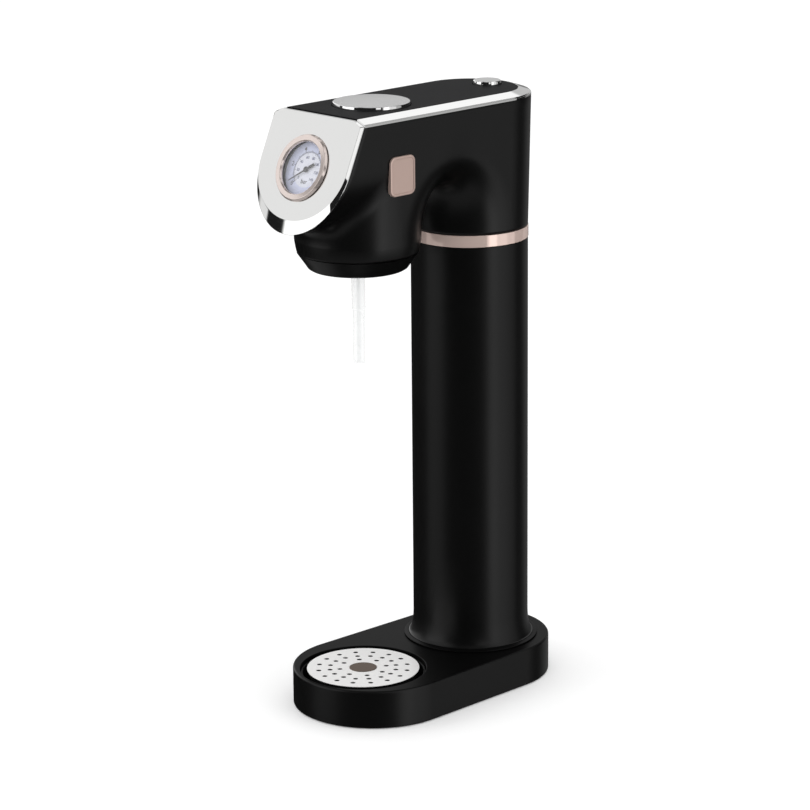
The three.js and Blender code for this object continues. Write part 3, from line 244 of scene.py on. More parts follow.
def ringBrushed(name, code, rough, centre, wallTop):  # turned on a lathe: fine rings on top, polished wall
    made = Finish(name, Metallic=1.0)
    x, y, z = made.axes(made.where())
    side, along = x - centre[0], y - centre[1]
    away = (side * side + along * along) ** 0.5
    rings = made.node("TexNoise", {"noise_dimensions": "1D"},
                      {"W": away * 9000.0, "Scale": 1.0, "Detail": 2.0})
    cloud = made.noise(30.0, 3.0)
    base = Vector(colour(code)[:3])
    turned = rough + (cloud - 0.5) * 0.06 + (rings - 0.5) * 0.05
    made.set(Base_Color=made.blend(rings, (*(base * 0.93), 1), (*base, 1)),
             Roughness=(turned - 0.05) * (z > wallTop) + 0.05)
    return made.bump(rings, 0.000006, 0.4)


buttonSpot = (0.0, (layout["columnY"] - layout["buttonReach"]) * 0.001)
dullDeck = (*[height * 0.001 for height in layout["dullBand"]], layout["dullShare"])
finishes = {
    "shell": paintedFinish("satin black shell", finishLooks["shellBlack"], 0.33, 2600.0, 0.35),
    "deck": paintedFinish("satin black base", finishLooks["shellBlack"], 0.33, 2600.0, 0.3, dullDeck),
    "cover": paintedFinish("matte top cover", finishLooks["coverBlack"], 0.6, 1900.0, 0.05),
    "inner": paintedFinish("inner black plastic", finishLooks["innerBlack"], 0.55, 1500.0),
    "rubber": paintedFinish("black rubber", finishLooks["rubberBlack"], 0.85, 1200.0),
    "grey": paintedFinish("grey plastic", finishLooks["plainGrey"], 0.55, 1500.0, 0.5),
    "chrome": platedFinish("polished chrome", finishLooks["chrome"], 0.045, haze=0.02),
    "silver": ringBrushed("turned silver", finishLooks["silver"], 0.2, buttonSpot,
                          layout["buttonWall"] * 0.001),
    "roseGold": platedFinish("rose gold plate", finishLooks["roseGold"], 0.3, (60, 60, 9000), metal=0.65),
    "roseBezel": platedFinish("polished rose bezel", finishLooks["roseBezel"], 0.12, metal=0.7),
    "rosePale": platedFinish("pale rose plate", finishLooks["rosePale"], 0.1, haze=0.02, metal=0.45),
    "rosePolished": platedFinish("polished rose disc", finishLooks["rosePolished"], 0.1, haze=0.02),
    "plate": platedFinish("pale grille plate", finishLooks["plate"], 0.3, metal=0.15),
    "brass": platedFinish("machined brass", finishLooks["brass"], 0.3),
    "steel": platedFinish("bright steel", finishLooks["steel"], 0.3),
    "aluminium": platedFinish("satin aluminium", finishLooks["aluminium"], 0.38, (40, 40, 2500)),
}


def lensFinish():
    made = Finish("gauge lens", Roughness=0.02, Alpha=0.1)
    smear = made.noise(60.0, 3.0)
    return made.set(Base_Color=(1, 1, 1, 1), Roughness=0.015 + smear * 0.02)


def tubeFinish():
    made = Finish("clear tube")
    cloud = made.noise(60.0, 3.0)
    return made.set(Base_Color=made.blend(cloud, (0.93, 0.94, 0.94, 1), (0.97, 0.98, 0.98, 1)),
                    Roughness=0.28 + (cloud - 0.5) * 0.1, Alpha=0.26 + cloud * 0.06)


finishes["lens"] = lensFinish()
finishes["tube"] = tubeFinish()
print("finishes made,", len(finishes))


# Mesh helpers, all lists of points in millimetres

def softened(corners, steps=4, closed=True):  # corners are (a, b) or (a, b, radius of its rounding)
    out = []
    count = len(corners)
    for i, corner in enumerate(corners):
        here = Vector(corner[:2])
        radius = corner[2] if len(corner) > 2 else 0
        if radius == 0 or (not closed and i in (0, count - 1)):
            out.append(here)
            continue
        back = Vector(corners[i - 1][:2]) - here
        ahead = Vector(corners[(i + 1) % count][:2]) - here
        reach = radius / math.tan(max(back.angle(ahead), 0.05) / 2)
        reach = min(reach, back.length * 0.49, ahead.length * 0.49)
        start, end = here + back.normalized() * reach, here + ahead.normalized() * reach
        for step in range(steps + 1):
            t = step / steps
            out.append(start * (1 - t) ** 2 + here * 2 * t * (1 - t) + end * t * t)
    return out


def arcPoints(x, y, radius, start, end, steps):
    return [(x + radius * math.cos(start + (end - start) * i / steps),
             y + radius * math.sin(start + (end - start) * i / steps)) for i in range(steps + 1)]


def addGrid(bm, rows, wrap=False):  # quads between rows of equal length
    made = [[bm.verts.new(p) for p in row] for row in rows]
    for low, high in zip(made, made[1:]):
        for i in range(len(low) if wrap else len(low) - 1):
            j = (i + 1) % len(low)
            bm.faces.new((low[i], low[j], high[j], high[i]))
    return made


def addSpun(bm, profile, sides=96, closed=True, centre=(0, 0)):
    points = list(profile) + ([profile[0]] if closed else [])
    rows = [[(centre[0] + r * math.cos(a), centre[1] + r * math.sin(a), z)
             for a in [math.tau * i / sides for i in range(sides)]] for r, z in points]
    addGrid(bm, rows, wrap=True)


def insideOutline(x, y, outline):
    crossed = False
    for (ax, ay), (bx, by) in zip(outline, outline[1:] + outline[:1]):
        if (ay > y) != (by > y) and x < (bx - ax) * (y - ay) / (by - ay) + ax:
            crossed = not crossed
    return crossed


def lifted(outline, z, scale=1):  # a flat outline as one row of a grid
    return [(x * scale, y * scale, z) for x, y in outline]


def closeEnds(bm, rows):
    bm.faces.new(rows[0][::-1])
    bm.faces.new(rows[-1])


def circlePoints(x, y, radius, sides):
    return arcPoints(x, y, radius, 0, math.tau, sides)[:-1]


def atSpot(x, y):  # a piece's own axis, off the column's
    return columnFrame @ Matrix.Translation((x, y, 0))


def addPlate(bm, outlines, height):  # a flat face with holes: first outline is the rim
    points, edges = [], []
    for outline in outlines:
        start, count = len(points), len(outline)
        points += [Vector(spot) for spot in outline]
        edges += [(start + i, start + (i + 1) % count) for i in range(count)]
    spots, _, faces, *_ = geometry.delaunay_2d_cdt(points, edges, [], 0, 0.00001)
    verts = [bm.verts.new((*spot, height)) for spot in spots]
    for face in faces:
        x, y = sum((spots[i] for i in face), Vector((0, 0))) / len(face)
        if insideOutline(x, y, outlines[0]) and not any(insideOutline(x, y, hole) for hole in outlines[1:]):
            bm.faces.new([verts[i] for i in face])


def addRod(bm, path, radius, sides=10):  # round wire along a path
    rows = []
    for i, spot in enumerate(path):
        ahead = Vector(path[min(i + 1, len(path) - 1)]) - Vector(path[max(i - 1, 0)])
        turn = ahead.to_track_quat("Z", "Y").to_matrix()
        rows.append([Vector(spot) + turn @ Vector((radius * math.cos(a), radius * math.sin(a), 0))
                     for a in [math.tau * k / sides for k in range(sides)]])
    closeEnds(bm, addGrid(bm, rows, wrap=True))


def finishPiece(name, bm, look, body, nodes, matrix=columnFrame, wall=0.0, crease=32):
    bmesh.ops.remove_doubles(bm, verts=bm.verts, dist=0.0008)
    bmesh.ops.dissolve_degenerate(bm, dist=0.0004, edges=bm.edges)
    bmesh.ops.recalc_face_normals(bm, faces=bm.faces)
    mesh = bpy.data.meshes.new(name)
    bm.to_mesh(mesh)
    bm.free()
    mesh.transform(matrix)
    for face in mesh.polygons:
        face.use_smooth = True
    mesh.set_sharp_from_angle(angle=math.radians(crease))
    mesh.materials.append(finishes[look].material)
    piece = bpy.data.objects.new(name, mesh)
    bpy.context.scene.collection.objects.link(piece)
    if wall:
        skin = piece.modifiers.new("wall", "SOLIDIFY")
        skin.thickness = wall * 0.001
        skin.offset = -1
        skin.use_even_offset = True
    even = piece.modifiers.new("even shading", "WEIGHTED_NORMAL")
    even.keep_sharp = True
    if isinstance(body, dict):  # a piece between two bodies, baked in place and joined to neither
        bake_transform(piece)
    else:
        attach(piece, body)
    if nodes:
        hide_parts(*nodes)


def spunPiece(name, profile, look, body, nodes, matrix=columnFrame, sides=96, steps=4):
    bm = bmesh.new()
    addSpun(bm, softened(profile, steps), sides)
    finishPiece(name, bm, look, body, nodes, matrix)


# Base

base = {
    "rearRadius": 54.6,
    "frontRadius": 56.0,
    "frontReach": 93.0,
    "bottom": 0.5,
    "edge": 1.6,
    "wellRadius": 43.1,
    "wellFloor": 7.0,
    "wellEdge": 1.0,
    "mouthRadius": 33.5,
    "shellWall": 1.6,
    "arcSteps": 64,
}


def baseOutline(inset):
    lean = math.asin((base["frontRadius"] - base["rearRadius"]) / base["frontReach"])
    rear = arcPoints(0, 0, base["rearRadius"] - inset, lean, math.pi - lean, base["arcSteps"])
    front = arcPoints(0, -base["frontReach"], base["frontRadius"] - inset, math.pi - lean, math.tau + lean,
                      base["arcSteps"])
    return rear + front


def makeBase():
    bm = bmesh.new()
    top, edge, low = layout["deckTop"], base["edge"], base["bottom"]
    levels = [(low, 0.8), (low + 0.3, 0.25), (low + 0.9, 0.0), (top / 2, 0.0)]
    levels += [(top - edge * (1 - math.sin(t)), edge * (1 - math.cos(t)))
               for t in [math.pi / 2 * i / 6 for i in range(7)]]
    addGrid(bm, [lifted(baseOutline(inset), z) for z, inset in levels], wrap=True)
    rim = base["wellRadius"] + base["wellEdge"]
    mouth = base["mouthRadius"]
    nozzleY = -layout["nozzleReach"]
    addPlate(bm, [baseOutline(edge), circlePoints(0, nozzleY, rim, 96), circlePoints(0, 0, mouth, 64)], top)
    addSpun(bm, [(0.0, base["wellFloor"])] + softened([
        (base["wellRadius"] - 8, base["wellFloor"]),
        (base["wellRadius"], base["wellFloor"], 2.0),
        (base["wellRadius"], top, 1.0),
        (rim, top),
    ], 5, closed=False), 96, closed=False, centre=(0, nozzleY))
    addSpun(bm, [(mouth, top), (mouth, top - 3)], 64, closed=False)
    finishPiece("base_housing", bm, "deck", "frame", ["base_shell"],
                wall=base["shellWall"])


makeBase()


underside = {
    "inset": 2.7,
    "low": 1.6,
    "high": 3.8,
    "screwHole": 3.3,
    "headRadius": 3.0,
    "headFlat": 2.4,
    "shankRadius": 1.5,
    "shankTop": 11.0,
    "recessDepth": 0.9,
    "recessReach": 1.7,
    "recessHalf": 0.35,
    "footRadius": 7.0,
    "screws": [(-39.86, -52), (39.86, -52), (-27.19, 38.83), (27.19, 38.83)],
    "feet": [(-36.04, -118.24), (36.04, -118.24), (-34.9, 24.43), (34.9, 24.43)],
}


def makeScrew(number, spot):
    bm = bmesh.new()
    low, high = underside["low"], underside["low"] + underside["recessDepth"]
    reach, half, flat = underside["recessReach"], underside["recessHalf"], underside["headFlat"]
    cross = []
    for quarter in range(4):  # cross recess in the head
        turn = Matrix.Rotation(math.pi / 2 * quarter, 2)
        cross += [turn @ Vector(corner) for corner in ((reach, -half), (reach, half), (half, half))]
    foot = lifted(cross, high, 0.6)
    addPlate(bm, [circlePoints(0, 0, flat, 32), cross], low)
    addGrid(bm, [lifted(cross, low), foot], wrap=True)
    addPlate(bm, [[corner[:2] for corner in foot]], high)
    rim, shank, top = underside["headRadius"], underside["shankRadius"], underside["shankTop"]
    addSpun(bm, softened([(flat, low), (rim, low + 0.15, 0.3), (rim, high), (shank, high), (shank, top),
                          (0.0, top + 1.6)], 3, closed=False), 32, closed=False)
    finishPiece(f"cross_screw_{number}", bm, "steel", "frame", [f"base_screw_{number}"], spot)


def makeUnderside():
    bm = bmesh.new()
    low = underside["low"]
    mouth = circlePoints(0, 0, base["mouthRadius"], 64)
    holes = [circlePoints(x, y, underside["screwHole"], 24) for x, y in underside["screws"]]
    addPlate(bm, [baseOutline(underside["inset"]), mouth, *holes], low)
    finishPiece("underside_plate", bm, "inner", "frame", ["base_plate"],
                wall=low - underside["high"])
    foot = underside["footRadius"]
    for i, (x, y) in enumerate(underside["feet"]):
        spunPiece(f"rubber_foot_{i + 1}", [(0, 0), (foot, 0, 0.6), (foot, low), (0, low)], "rubber",
                  "frame", [f"foot_{i + 1}"], atSpot(x, y), 40)
    for i, (x, y) in enumerate(underside["screws"]):
        makeScrew(i + 1, atSpot(x, y))


makeUnderside()
print("base made")


# Drip tray and grille

tray = {
    "radius": 42.7,
    "bottom": 7.3,
    "wall": 1.5,
    "rim": 24.25,
    "supportRadius": 35.0,
    "supportWall": 1.6,
    "supportTop": 24.95,
    "notches": 8,
    "notchWidth": 7.0,
    "notchDepth": 6.0,
}
grille = {
    "radius": 38.3,
    "top": 26.75,
    "sheet": 0.35,
    "edge": 0.3,
    "seat": (35.6, 36.8, 21.85),  # inner and outer radius of the rubber ring, and its foot
    "holeRadius": 1.75,
    "rows": [(30.6, 16, 0.5), (22.8, 16, 0.5), (16.0, 8, 0.25)],  # radius, number of holes, share of a step
    "discRadius": 9.35,
    "discTop": 26.95,
}


def makeTray():
    bm = bmesh.new()
    outer, inner = tray["radius"], tray["radius"] - tray["wall"]
    bottom, rim, floor = tray["bottom"], tray["rim"], tray["bottom"] + tray["wall"]
    addSpun(bm, softened([(0, bottom), (outer, bottom, 2.2), (outer, rim, 0.5), (inner, rim, 0.5),
                          (inner, floor, 1.2), (0, floor)], 5), 96)
    low, high = floor - 0.2, tray["supportTop"]
    sill = high - tray["notchDepth"]
    face, back = tray["supportRadius"], tray["supportRadius"] - tray["supportWall"]
    gap = math.asin(tray["notchWidth"] / 2 / face)
    notches = tray["notches"]
    for part in range(notches):  # support ring, notched
        a0, a1 = math.tau * part / notches + gap, math.tau * (part + 1) / notches - gap
        rows = []
        for i in range(13):
            a = a0 + (a1 - a0) * i / 12
            rows.append([(r * math.cos(a), r * math.sin(a), z)
                         for r, z in ((face, low), (face, high), (back, high), (back, low))])
        closeEnds(bm, addGrid(bm, rows, wrap=True))
    addSpun(bm, [(face, low), (face, sill), (back, sill), (back, low)], 96)
    finishPiece("tray_cup", bm, "inner", "tray", ["drip_tray"], nozzleFrame)


def makeGrille():
    bm = bmesh.new()
    top, low, edge = grille["top"], grille["top"] - grille["sheet"], grille["edge"]
    recess = grille["discRadius"] + 0.3
    spots = [(r * math.cos(math.tau * (i + phase) / count), r * math.sin(math.tau * (i + phase) / count))
             for r, count, phase in grille["rows"] for i in range(count)]
    lip = grille["holeRadius"] + 0.15
    flat = grille["radius"] - edge
    addPlate(bm, [circlePoints(0, 0, flat, 96), circlePoints(0, 0, recess, 64),
                  *[circlePoints(x, y, lip, 20) for x, y in spots]], top)
    addPlate(bm, [circlePoints(0, 0, grille["radius"], 96),
                  *[circlePoints(x, y, grille["holeRadius"], 20) for x, y in spots]], low)
    addSpun(bm, softened([(flat, top), (grille["radius"], top, edge), (grille["radius"], low)], 4,
                         closed=False), 96, closed=False)
    for x, y in spots:
        addSpun(bm, [(lip, top), (grille["holeRadius"], top - 0.15), (grille["holeRadius"], low)], 20,
                closed=False, centre=(x, y))
    addSpun(bm, [(recess, top), (recess, top - 0.9), (0.0, top - 0.9)], 64, closed=False)
    finishPiece("perforated_plate", bm, "plate", "grille", ["drip_grille"], nozzleFrame)
    inner, outer, foot = grille["seat"]
    spunPiece("seat_ring", [(inner, low - 0.05), (outer, low - 0.05), (outer, foot, 0.3), (inner, foot, 0.3)],
              "rubber", "grille", [], nozzleFrame)
    r, top = grille["discRadius"], grille["discTop"]
    spunPiece("centre_disc", [(0, top - 0.8), (r, top - 0.8), (r, top, 0.3), (0, top)],
              "rosePolished", "grille", ["grille_disc"], nozzleFrame)


makeTray()
makeGrille()
print("tray and grille made")


# Column

column = {
    "radius": 40.0,
    "wall": 2.2,
    "bottom": 27.05,
    "top": 311.2,
    "flareRadius": 43.4,
    "flareLift": 1.7,
    "flareHeight": 16.5,
    "lipRadius": 46.5,
    "lipEdge": 0.8,
    "ringBottom": 311.5,
    "ringTop": 319.5,
    "ringProud": 0.3,
}


def makeColumn():
    radius, low, top = column["radius"], column["bottom"], column["top"]
    flare, lip, bore = column["flareRadius"], column["lipRadius"], radius - column["wall"]
    seat, groove = low + column["flareLift"], flare + 0.35
    foot = [(flare - (flare - radius) * math.sin(t), seat + column["flareHeight"] * (1 - math.cos(t)))
            for t in [math.pi / 2 * i / 20 for i in range(21)]]
    ledge = softened([(lip - 0.3, low), (lip, low + 0.3), (lip, low + column["lipEdge"], 0.5),
                      (groove, seat - 0.25, 0.1), (groove, seat - 0.6), (flare, seat - 0.6)], 3, closed=False)
    profile = [(bore, low), *ledge, *foot, (radius, top - 0.3), (radius - 0.3, top), (bore, top)]
    bm = bmesh.new()
    addSpun(bm, profile, 128)
    finishPiece("column_skin", bm, "deck", "frame", ["column_tube"])
    outer, low, top = radius + column["ringProud"], column["ringBottom"], column["ringTop"]
    spunPiece("metal_ring", [(outer - 2.3, low), (outer, low, 0.35), (outer, top, 0.35), (outer - 2.3, top)],
              "rosePale", "frame", ["ring_band"], sides=128)


makeColumn()


# Gas cylinder: its foot shows through the base

cylinder = {
    "radius": 30.0,
    "bore": 27.6,
    "neck": 13.0,
    "neckBore": 9.5,
    "neckTop": 338.0,
    "neckInside": 321.6,
    "shoulder": 300.0,
    "shoulderRise": 24.0,
    "standing": 8.0,  # the foot's lowest ring
}


def makeCylinder():
    radius, neck, top = cylinder["radius"], cylinder["neck"], cylinder["neckTop"]
    spring, low = cylinder["shoulder"], cylinder["standing"]
    shoulder = [(neck + (radius - neck) * math.cos(t), spring + cylinder["shoulderRise"] * math.sin(t))
                for t in [math.pi / 2 * i / 16 for i in range(17)]]
    bm = bmesh.new()
    foot = softened([(0, low + 9), (14, low + 6.5, 6), (20, low + 1, 3), (24, low, 2),
                     (radius, low + 0.6, 5), (radius, low + 8)], 6, closed=False)
    bore, neckBore = cylinder["bore"], cylinder["neckBore"]
    inside = [(neckBore, top), (neckBore, cylinder["neckInside"]), (bore, spring), (bore, low + 9),
              (18, low + 11.4), (0, low + 13.8)]
    addSpun(bm, foot + shoulder + [(neck, top)] + inside, 96)
    finishPiece("pressure_cylinder", bm, "aluminium", "cylinder", ["gas_cylinder"])


makeCylinder()
print("column and cylinder made")


# Head shell: nozzle, arch and barrel in one skin

head = {
    "half": 42.0,
    "wall": 2.0,
    "barrelCentre": 381.5,
    "archRise": 29.0,
    "archSpring": 327.0,
    "nozzleBottom": 317.7,
    "bulge": 10.0,
    "tuck": 1.7,
    "rearBottom": 319.8,
    "rearDraft": 2.0,
    "crotchRound": 16.0,  # how far nozzle and belly melt into each other
    "steps": 48,  # across the width
}


def fasciaAt(z, depth):  # y of the fascia's back plane at a height
    tilt = math.radians(layout["fasciaTilt"])
    return -layout["fasciaReach"] + (math.sin(tilt) * (z - layout["coverTop"]) + depth) / math.cos(tilt)


def drafted(p):  # the rear cylinder narrows towards the ring
    x, y, z = p
    half, reach, top = head["half"], layout["nozzleReach"], layout["shellTop"]
    rear = min(max((y - half + reach) / (reach - 2 * half), 0), 1)
    down = min(max((top - z) / (top - column["ringTop"]), 0), 1)
    scale = 1 - rear * down * head["rearDraft"] / half
    return (x * scale, y * scale, z)


def nozzleRadius(z):
    share = min(max((head["nozzleBottom"] + head["bulge"] - z) / head["bulge"], 0), 1)
    return head["half"] - head["tuck"] * share ** 1.5


def makeHead():
    bm = bmesh.new()
    half, spring, centre, top = head["half"], head["archSpring"], head["barrelCentre"], layout["shellTop"]
    reach, count = layout["nozzleReach"], head["steps"]
    angles = [math.pi * (i / count - 0.5) for i in range(count + 1)]
    crest = (centre - spring) / (top - spring)  # share of the wall that the belly's edge stands at
    shares = [crest * i / 10 for i in range(10)] + [crest + (1 - crest) * i / 5 for i in range(6)]
    lowRear = [head["rearBottom"] + (spring - head["rearBottom"]) * i / 4 for i in range(4)]
    lowNozzle = [head["nozzleBottom"] + (spring - head["nozzleBottom"]) * i / 8 for i in range(8)]
    depth = layout["fasciaBack"]

    def underArch(angle):  # up the column, over the arch, down the nozzle
        near, x = half * math.cos(angle), half * math.sin(angle)
        span, crown = reach / 2 - near, centre - head["archRise"] * math.cos(angle)
        path = [(x, -near, z) for z in lowRear]
        for i in range(41):
            t = math.pi * i / 40
            path.append((x, -reach / 2 + span * math.cos(t), spring + (crown - spring) * math.sin(t)))
        for z in reversed(lowNozzle):
            r = nozzleRadius(z)
            path.append((r * math.sin(angle), -reach + r * math.cos(angle), z))
        return path

    def underFront(angle):  # up the nozzle's front and out along the belly
        near, x = half * math.cos(angle), half * math.sin(angle)
        seamY, seamZ = -reach - near, centre - near
        path = [(nozzleRadius(z) * math.sin(angle), -reach - nozzleRadius(z) * math.cos(angle), z)
                for z in lowNozzle]
        lift = seamZ - spring
        fillet = min(head["crotchRound"] * math.sqrt(near / half), lift * 0.85)
        path += [(x, seamY, spring + (lift - fillet) * s / crest) for s in shares[:10]]
        for i in range(17):
            t = i / 16
            path.append((x, seamY - fillet * t * t, seamZ - fillet * (1 - t) ** 2))
        front = fasciaAt(seamZ, depth)
        path += [(x, seamY - fillet + (front - seamY + fillet) * i / 12, seamZ) for i in range(1, 13)]
        return path

    addGrid(bm, [underArch(a) for a in angles])
    addGrid(bm, [underFront(a) for a in angles])
    for side in (-1, 1):
        x = half * side
        wall = []  # flat side above the arch
        for i in range(41):
            t = math.pi * i / 40
            y, foot = -reach / 2 + reach / 2 * math.cos(t), spring + (centre - spring) * math.sin(t)
            wall.append([(x, y, foot + (top - foot) * s) for s in shares])
        addGrid(bm, wall)
        cheek = []  # flat side of the barrel, out to the fascia
        for s in shares[10:]:
            z = spring + (top - spring) * s
            cheek.append([(x, -reach + (fasciaAt(z, depth) + reach) * i / 12, z) for i in range(13)])
        addGrid(bm, cheek)
    rear = []
    for i in range(count + 1):
        a = math.pi * i / count
        rear.append([(half * math.cos(a), half * math.sin(a), z)
                     for z in lowRear + [spring + (top - spring) * s for s in shares]])
    addGrid(bm, rear)
    for vert in bm.verts:
        vert.co = drafted(vert.co)
    finishPiece("head_skin", bm, "shell", "frame", ["head_shell"],
                wall=head["wall"], crease=50)


makeHead()
print("head made")


# Fascia, trim and top cover

fascia = {
    "sideRim": 1.3,
    "footRim": 9.3,
    "topRim": 0.9,
    "rimDepth": 1.78,
    "bevel": [(0, 0), (0.04, 0.02), (0.08, 0.06), (0.95, 0.91), (0.985, 0.96), (1, 1.05)],  # edges eased
    "thickness": 2.3,
    "bellySteps": 72,
    "gaugeDrop": 36.7,
    "gaugeHole": 21.0,
}
trim = {
    "coverHalf": 33.0,
    "shoulder": 41.3,
    "shoulderDrop": 2.6,
    "edgeDrop": 3.2,
    "bottom": 408.9,
    "ledge": 3.0,
    "coverThickness": 2.2,
    "coverEdge": 0.25,
    "halfway": -60.0,  # a row of points part way along the straight sides
    "turnSteps": 64,
}


def fasciaOutline(share):
    inner = 1 - share
    half, topY = head["half"] - fascia["sideRim"] * inner, -fascia["topRim"] * inner
    straightEnd = -(layout["coverTop"] - head["barrelCentre"]) * fasciaSlope
    foot = head["half"] * fasciaSlope - fascia["footRim"] * inner
    steps = fascia["bellySteps"]
    belly = [(half * math.cos(math.pi * i / steps), straightEnd - foot * math.sin(math.pi * i / steps))
             for i in range(steps + 1)]
    right = [(trim["coverHalf"] + 0.3, topY),
             (trim["shoulder"] - fascia["sideRim"] * inner, topY - trim["shoulderDrop"] * fasciaSlope),
             (half, topY - trim["edgeDrop"] * fasciaSlope)]
    for i in range(1, 6):  # even steps down the straight side
        t = i / 6
        right.append((half, right[2][1] * (1 - t) + straightEnd * t))
    return right + belly + [(-x, y) for x, y in reversed(right)]


def makeFascia():
    bm = bmesh.new()
    thick = fascia["thickness"]
    rings = [(share, fascia["rimDepth"] * down) for share, down in fascia["bevel"]] + [(1, thick)]
    addGrid(bm, [lifted(fasciaOutline(share), -depth) for share, depth in rings], wrap=True)
    hole = circlePoints(0, -fascia["gaugeDrop"], fascia["gaugeHole"], 96)
    addPlate(bm, [fasciaOutline(0), hole], 0.0)
    addPlate(bm, [fasciaOutline(1), hole], -thick)
    addGrid(bm, [lifted(hole, z) for z in (0, -thick)], wrap=True)
    finishPiece("front_plate", bm, "chrome", "frame", ["front_fascia"], fasciaFrame)


def makeTrim():
    half, high, low = head["half"], layout["coverTop"], trim["bottom"]
    seam, ledge = trim["coverHalf"] + 0.3, trim["coverHalf"] - trim["ledge"]
    crest, eave = high - trim["shoulderDrop"], high - trim["edgeDrop"]
    shoulder, step, seat = trim["shoulder"], trim["shoulder"] - 0.6, high - trim["coverThickness"] - 0.3
    section = softened([(ledge, low), (half, low, 0.25), (half, eave, 0.12), (step, eave + 0.1),
                        (step, crest - 0.15), (shoulder, crest, 0.15), (seam, high, 0.25), (seam, seat),
                        (ledge, seat)], 4)

    def straight(side):  # two rows of one side, the first at the fascia
        return [[(side * d, fasciaAt(z, layout["fasciaBack"]), z) for d, z in section],
                [(side * d, trim["halfway"], z) for d, z in section]]

    rows = straight(1)
    steps = trim["turnSteps"]
    for i in range(steps + 1):
        a = math.pi * i / steps
        rows.append([(d * math.cos(a), d * math.sin(a), z) for d, z in section])
    rows += straight(-1)[::-1]
    bm = bmesh.new()
    closeEnds(bm, addGrid(bm, rows, wrap=True))
    finishPiece("bevelled_trim", bm, "chrome", "frame", ["top_trim"], crease=20)


def makeCover():
    bm = bmesh.new()
    top, edge = layout["coverTop"], trim["coverEdge"]
    low = top - trim["coverThickness"]

    def outline(inset):
        half, front = trim["coverHalf"] - inset, fasciaAt(top, layout["fasciaBack"] + 0.3) + inset
        return [(-half, front), (half, front)] + arcPoints(0, 0, half, 0, math.pi, trim["turnSteps"])

    holes = [(-button["reach"], button["radius"] + 0.4, 96), (knob["reach"], knob["radius"] + 0.4, 64)]
    for inset, z in ((edge, top), (0, low)):
        addPlate(bm, [outline(inset), *[circlePoints(0, y, r + inset, n) for y, r, n in holes]], z)
    eased = [(edge, top), (0.07, top - 0.07), (0, top - edge), (0, low)]
    addGrid(bm, [lifted(outline(inset), z) for inset, z in eased], wrap=True)
    for y, r, n in holes:
        addSpun(bm, [(r + inset, z) for inset, z in eased], n, closed=False, centre=(0, y))
    finishPiece("cover_plate", bm, "cover", "frame", ["top_cover"])


# Button, knob and side plate

button = {
    "reach": layout["buttonReach"],
    "radius": 25.8,
    "top": 416.0,
    "depth": 11.0,
    "wall": 1.6,
    "crown": 0.35,
    "edge": 0.3,
    "draft": 0.42,  # button and knob lean in by this above the cover
}
knob = {
    "reach": 17.5,
    "radius": 9.7,
    "top": 416.0,
    "shoulder": 407.0,
    "rod": 2.4,
    "rodBottom": 390.0,
    "edge": 0.3,
}
spring = {"wire": 0.75, "turns": 4, "turnSteps": 20}
buttonSpring = {"radius": 6.6, "reach": -button["reach"], "low": 398.4, "high": 412.1}
knobSpring = {"radius": 5.2, "reach": knob["reach"], "low": 396.4, "high": 406.6}
sidePlate = {"width": 22.0, "height": 26.0, "centre": 373.7, "thickness": 1.4, "corner": 4.5, "seam": 0.3}


def makeButton():
    r, top, wall, edge, draft = (button[key] for key in ("radius", "top", "wall", "edge", "draft"))
    low, inside, brim = top - button["depth"], top - wall - 0.2, top - button["crown"]
    waist = layout["coverTop"] - 0.2
    rise = [(r * 0.9 * i / 6, top - button["crown"] * (i / 6) ** 2) for i in range(1, 7)]
    profile = [(0, top), *rise, (r - draft - edge, brim - 0.03, 0.2), (r - draft, brim - edge, 0.2),
               (r, waist), (r, low), (r - wall, low), (r - wall, inside), (0, inside)]
    spunPiece("press_button", profile, "silver", "button", ["button_cap"],
              atSpot(0, -button["reach"]), 128)
    r, top, edge, rod = (knob[key] for key in ("radius", "top", "edge", "rod"))
    profile = [(0, top), (r - draft - edge, top, 0.2), (r - draft, top - edge, 0.2), (r, waist),
               (r, knob["shoulder"], 0.4), (rod, knob["shoulder"]), (rod, knob["rodBottom"], 0.5),
               (0, knob["rodBottom"])]
    spunPiece("round_knob", profile, "chrome", "release", ["release_knob"],
              atSpot(0, knob["reach"]))


def makeSidePlate():
    bm = bmesh.new()
    y0, z0 = -layout["nozzleReach"], sidePlate["centre"]

    def outline(inset):
        w, h = sidePlate["width"] / 2 - inset, sidePlate["height"] / 2 - inset
        c = max(sidePlate["corner"] - inset, 0.4)
        points = []
        for i, (sx, sy) in enumerate(((1, 1), (-1, 1), (-1, -1), (1, -1))):
            points += arcPoints(sx * (w - c), sy * (h - c), c, math.pi / 2 * i, math.pi / 2 * (i + 1), 8)
        return points

    def seat(y, z):  # where the shell stands behind a point of the plate
        drop = max(head["barrelCentre"] - z, 0)
        belly = math.sqrt(max(head["half"] ** 2 - drop ** 2, 0))
        toNozzle = math.sqrt(max(head["half"] ** 2 - (y + layout["nozzleReach"]) ** 2, 0))
        return max(belly, toNozzle) if y < -layout["nozzleReach"] else head["half"]

    face = head["half"] + sidePlate["seam"] + sidePlate["thickness"]
    rows = [[(seat(y0 + a, z0 + b) + sidePlate["seam"], y0 + a, z0 + b) for a, b in outline(0)]]
    for inset, below in ((0, 0.5), (0.15, 0.15), (0.5, 0), (1.5, 0), (1.8, 0.4), (2.1, 0.45)):
        rows.append([(face - below, y0 + a, z0 + b) for a, b in outline(inset)])
    closeEnds(bm, addGrid(bm, rows, wrap=True))
    finishPiece("bare_plate", bm, "roseGold", "frame", ["side_badge"])


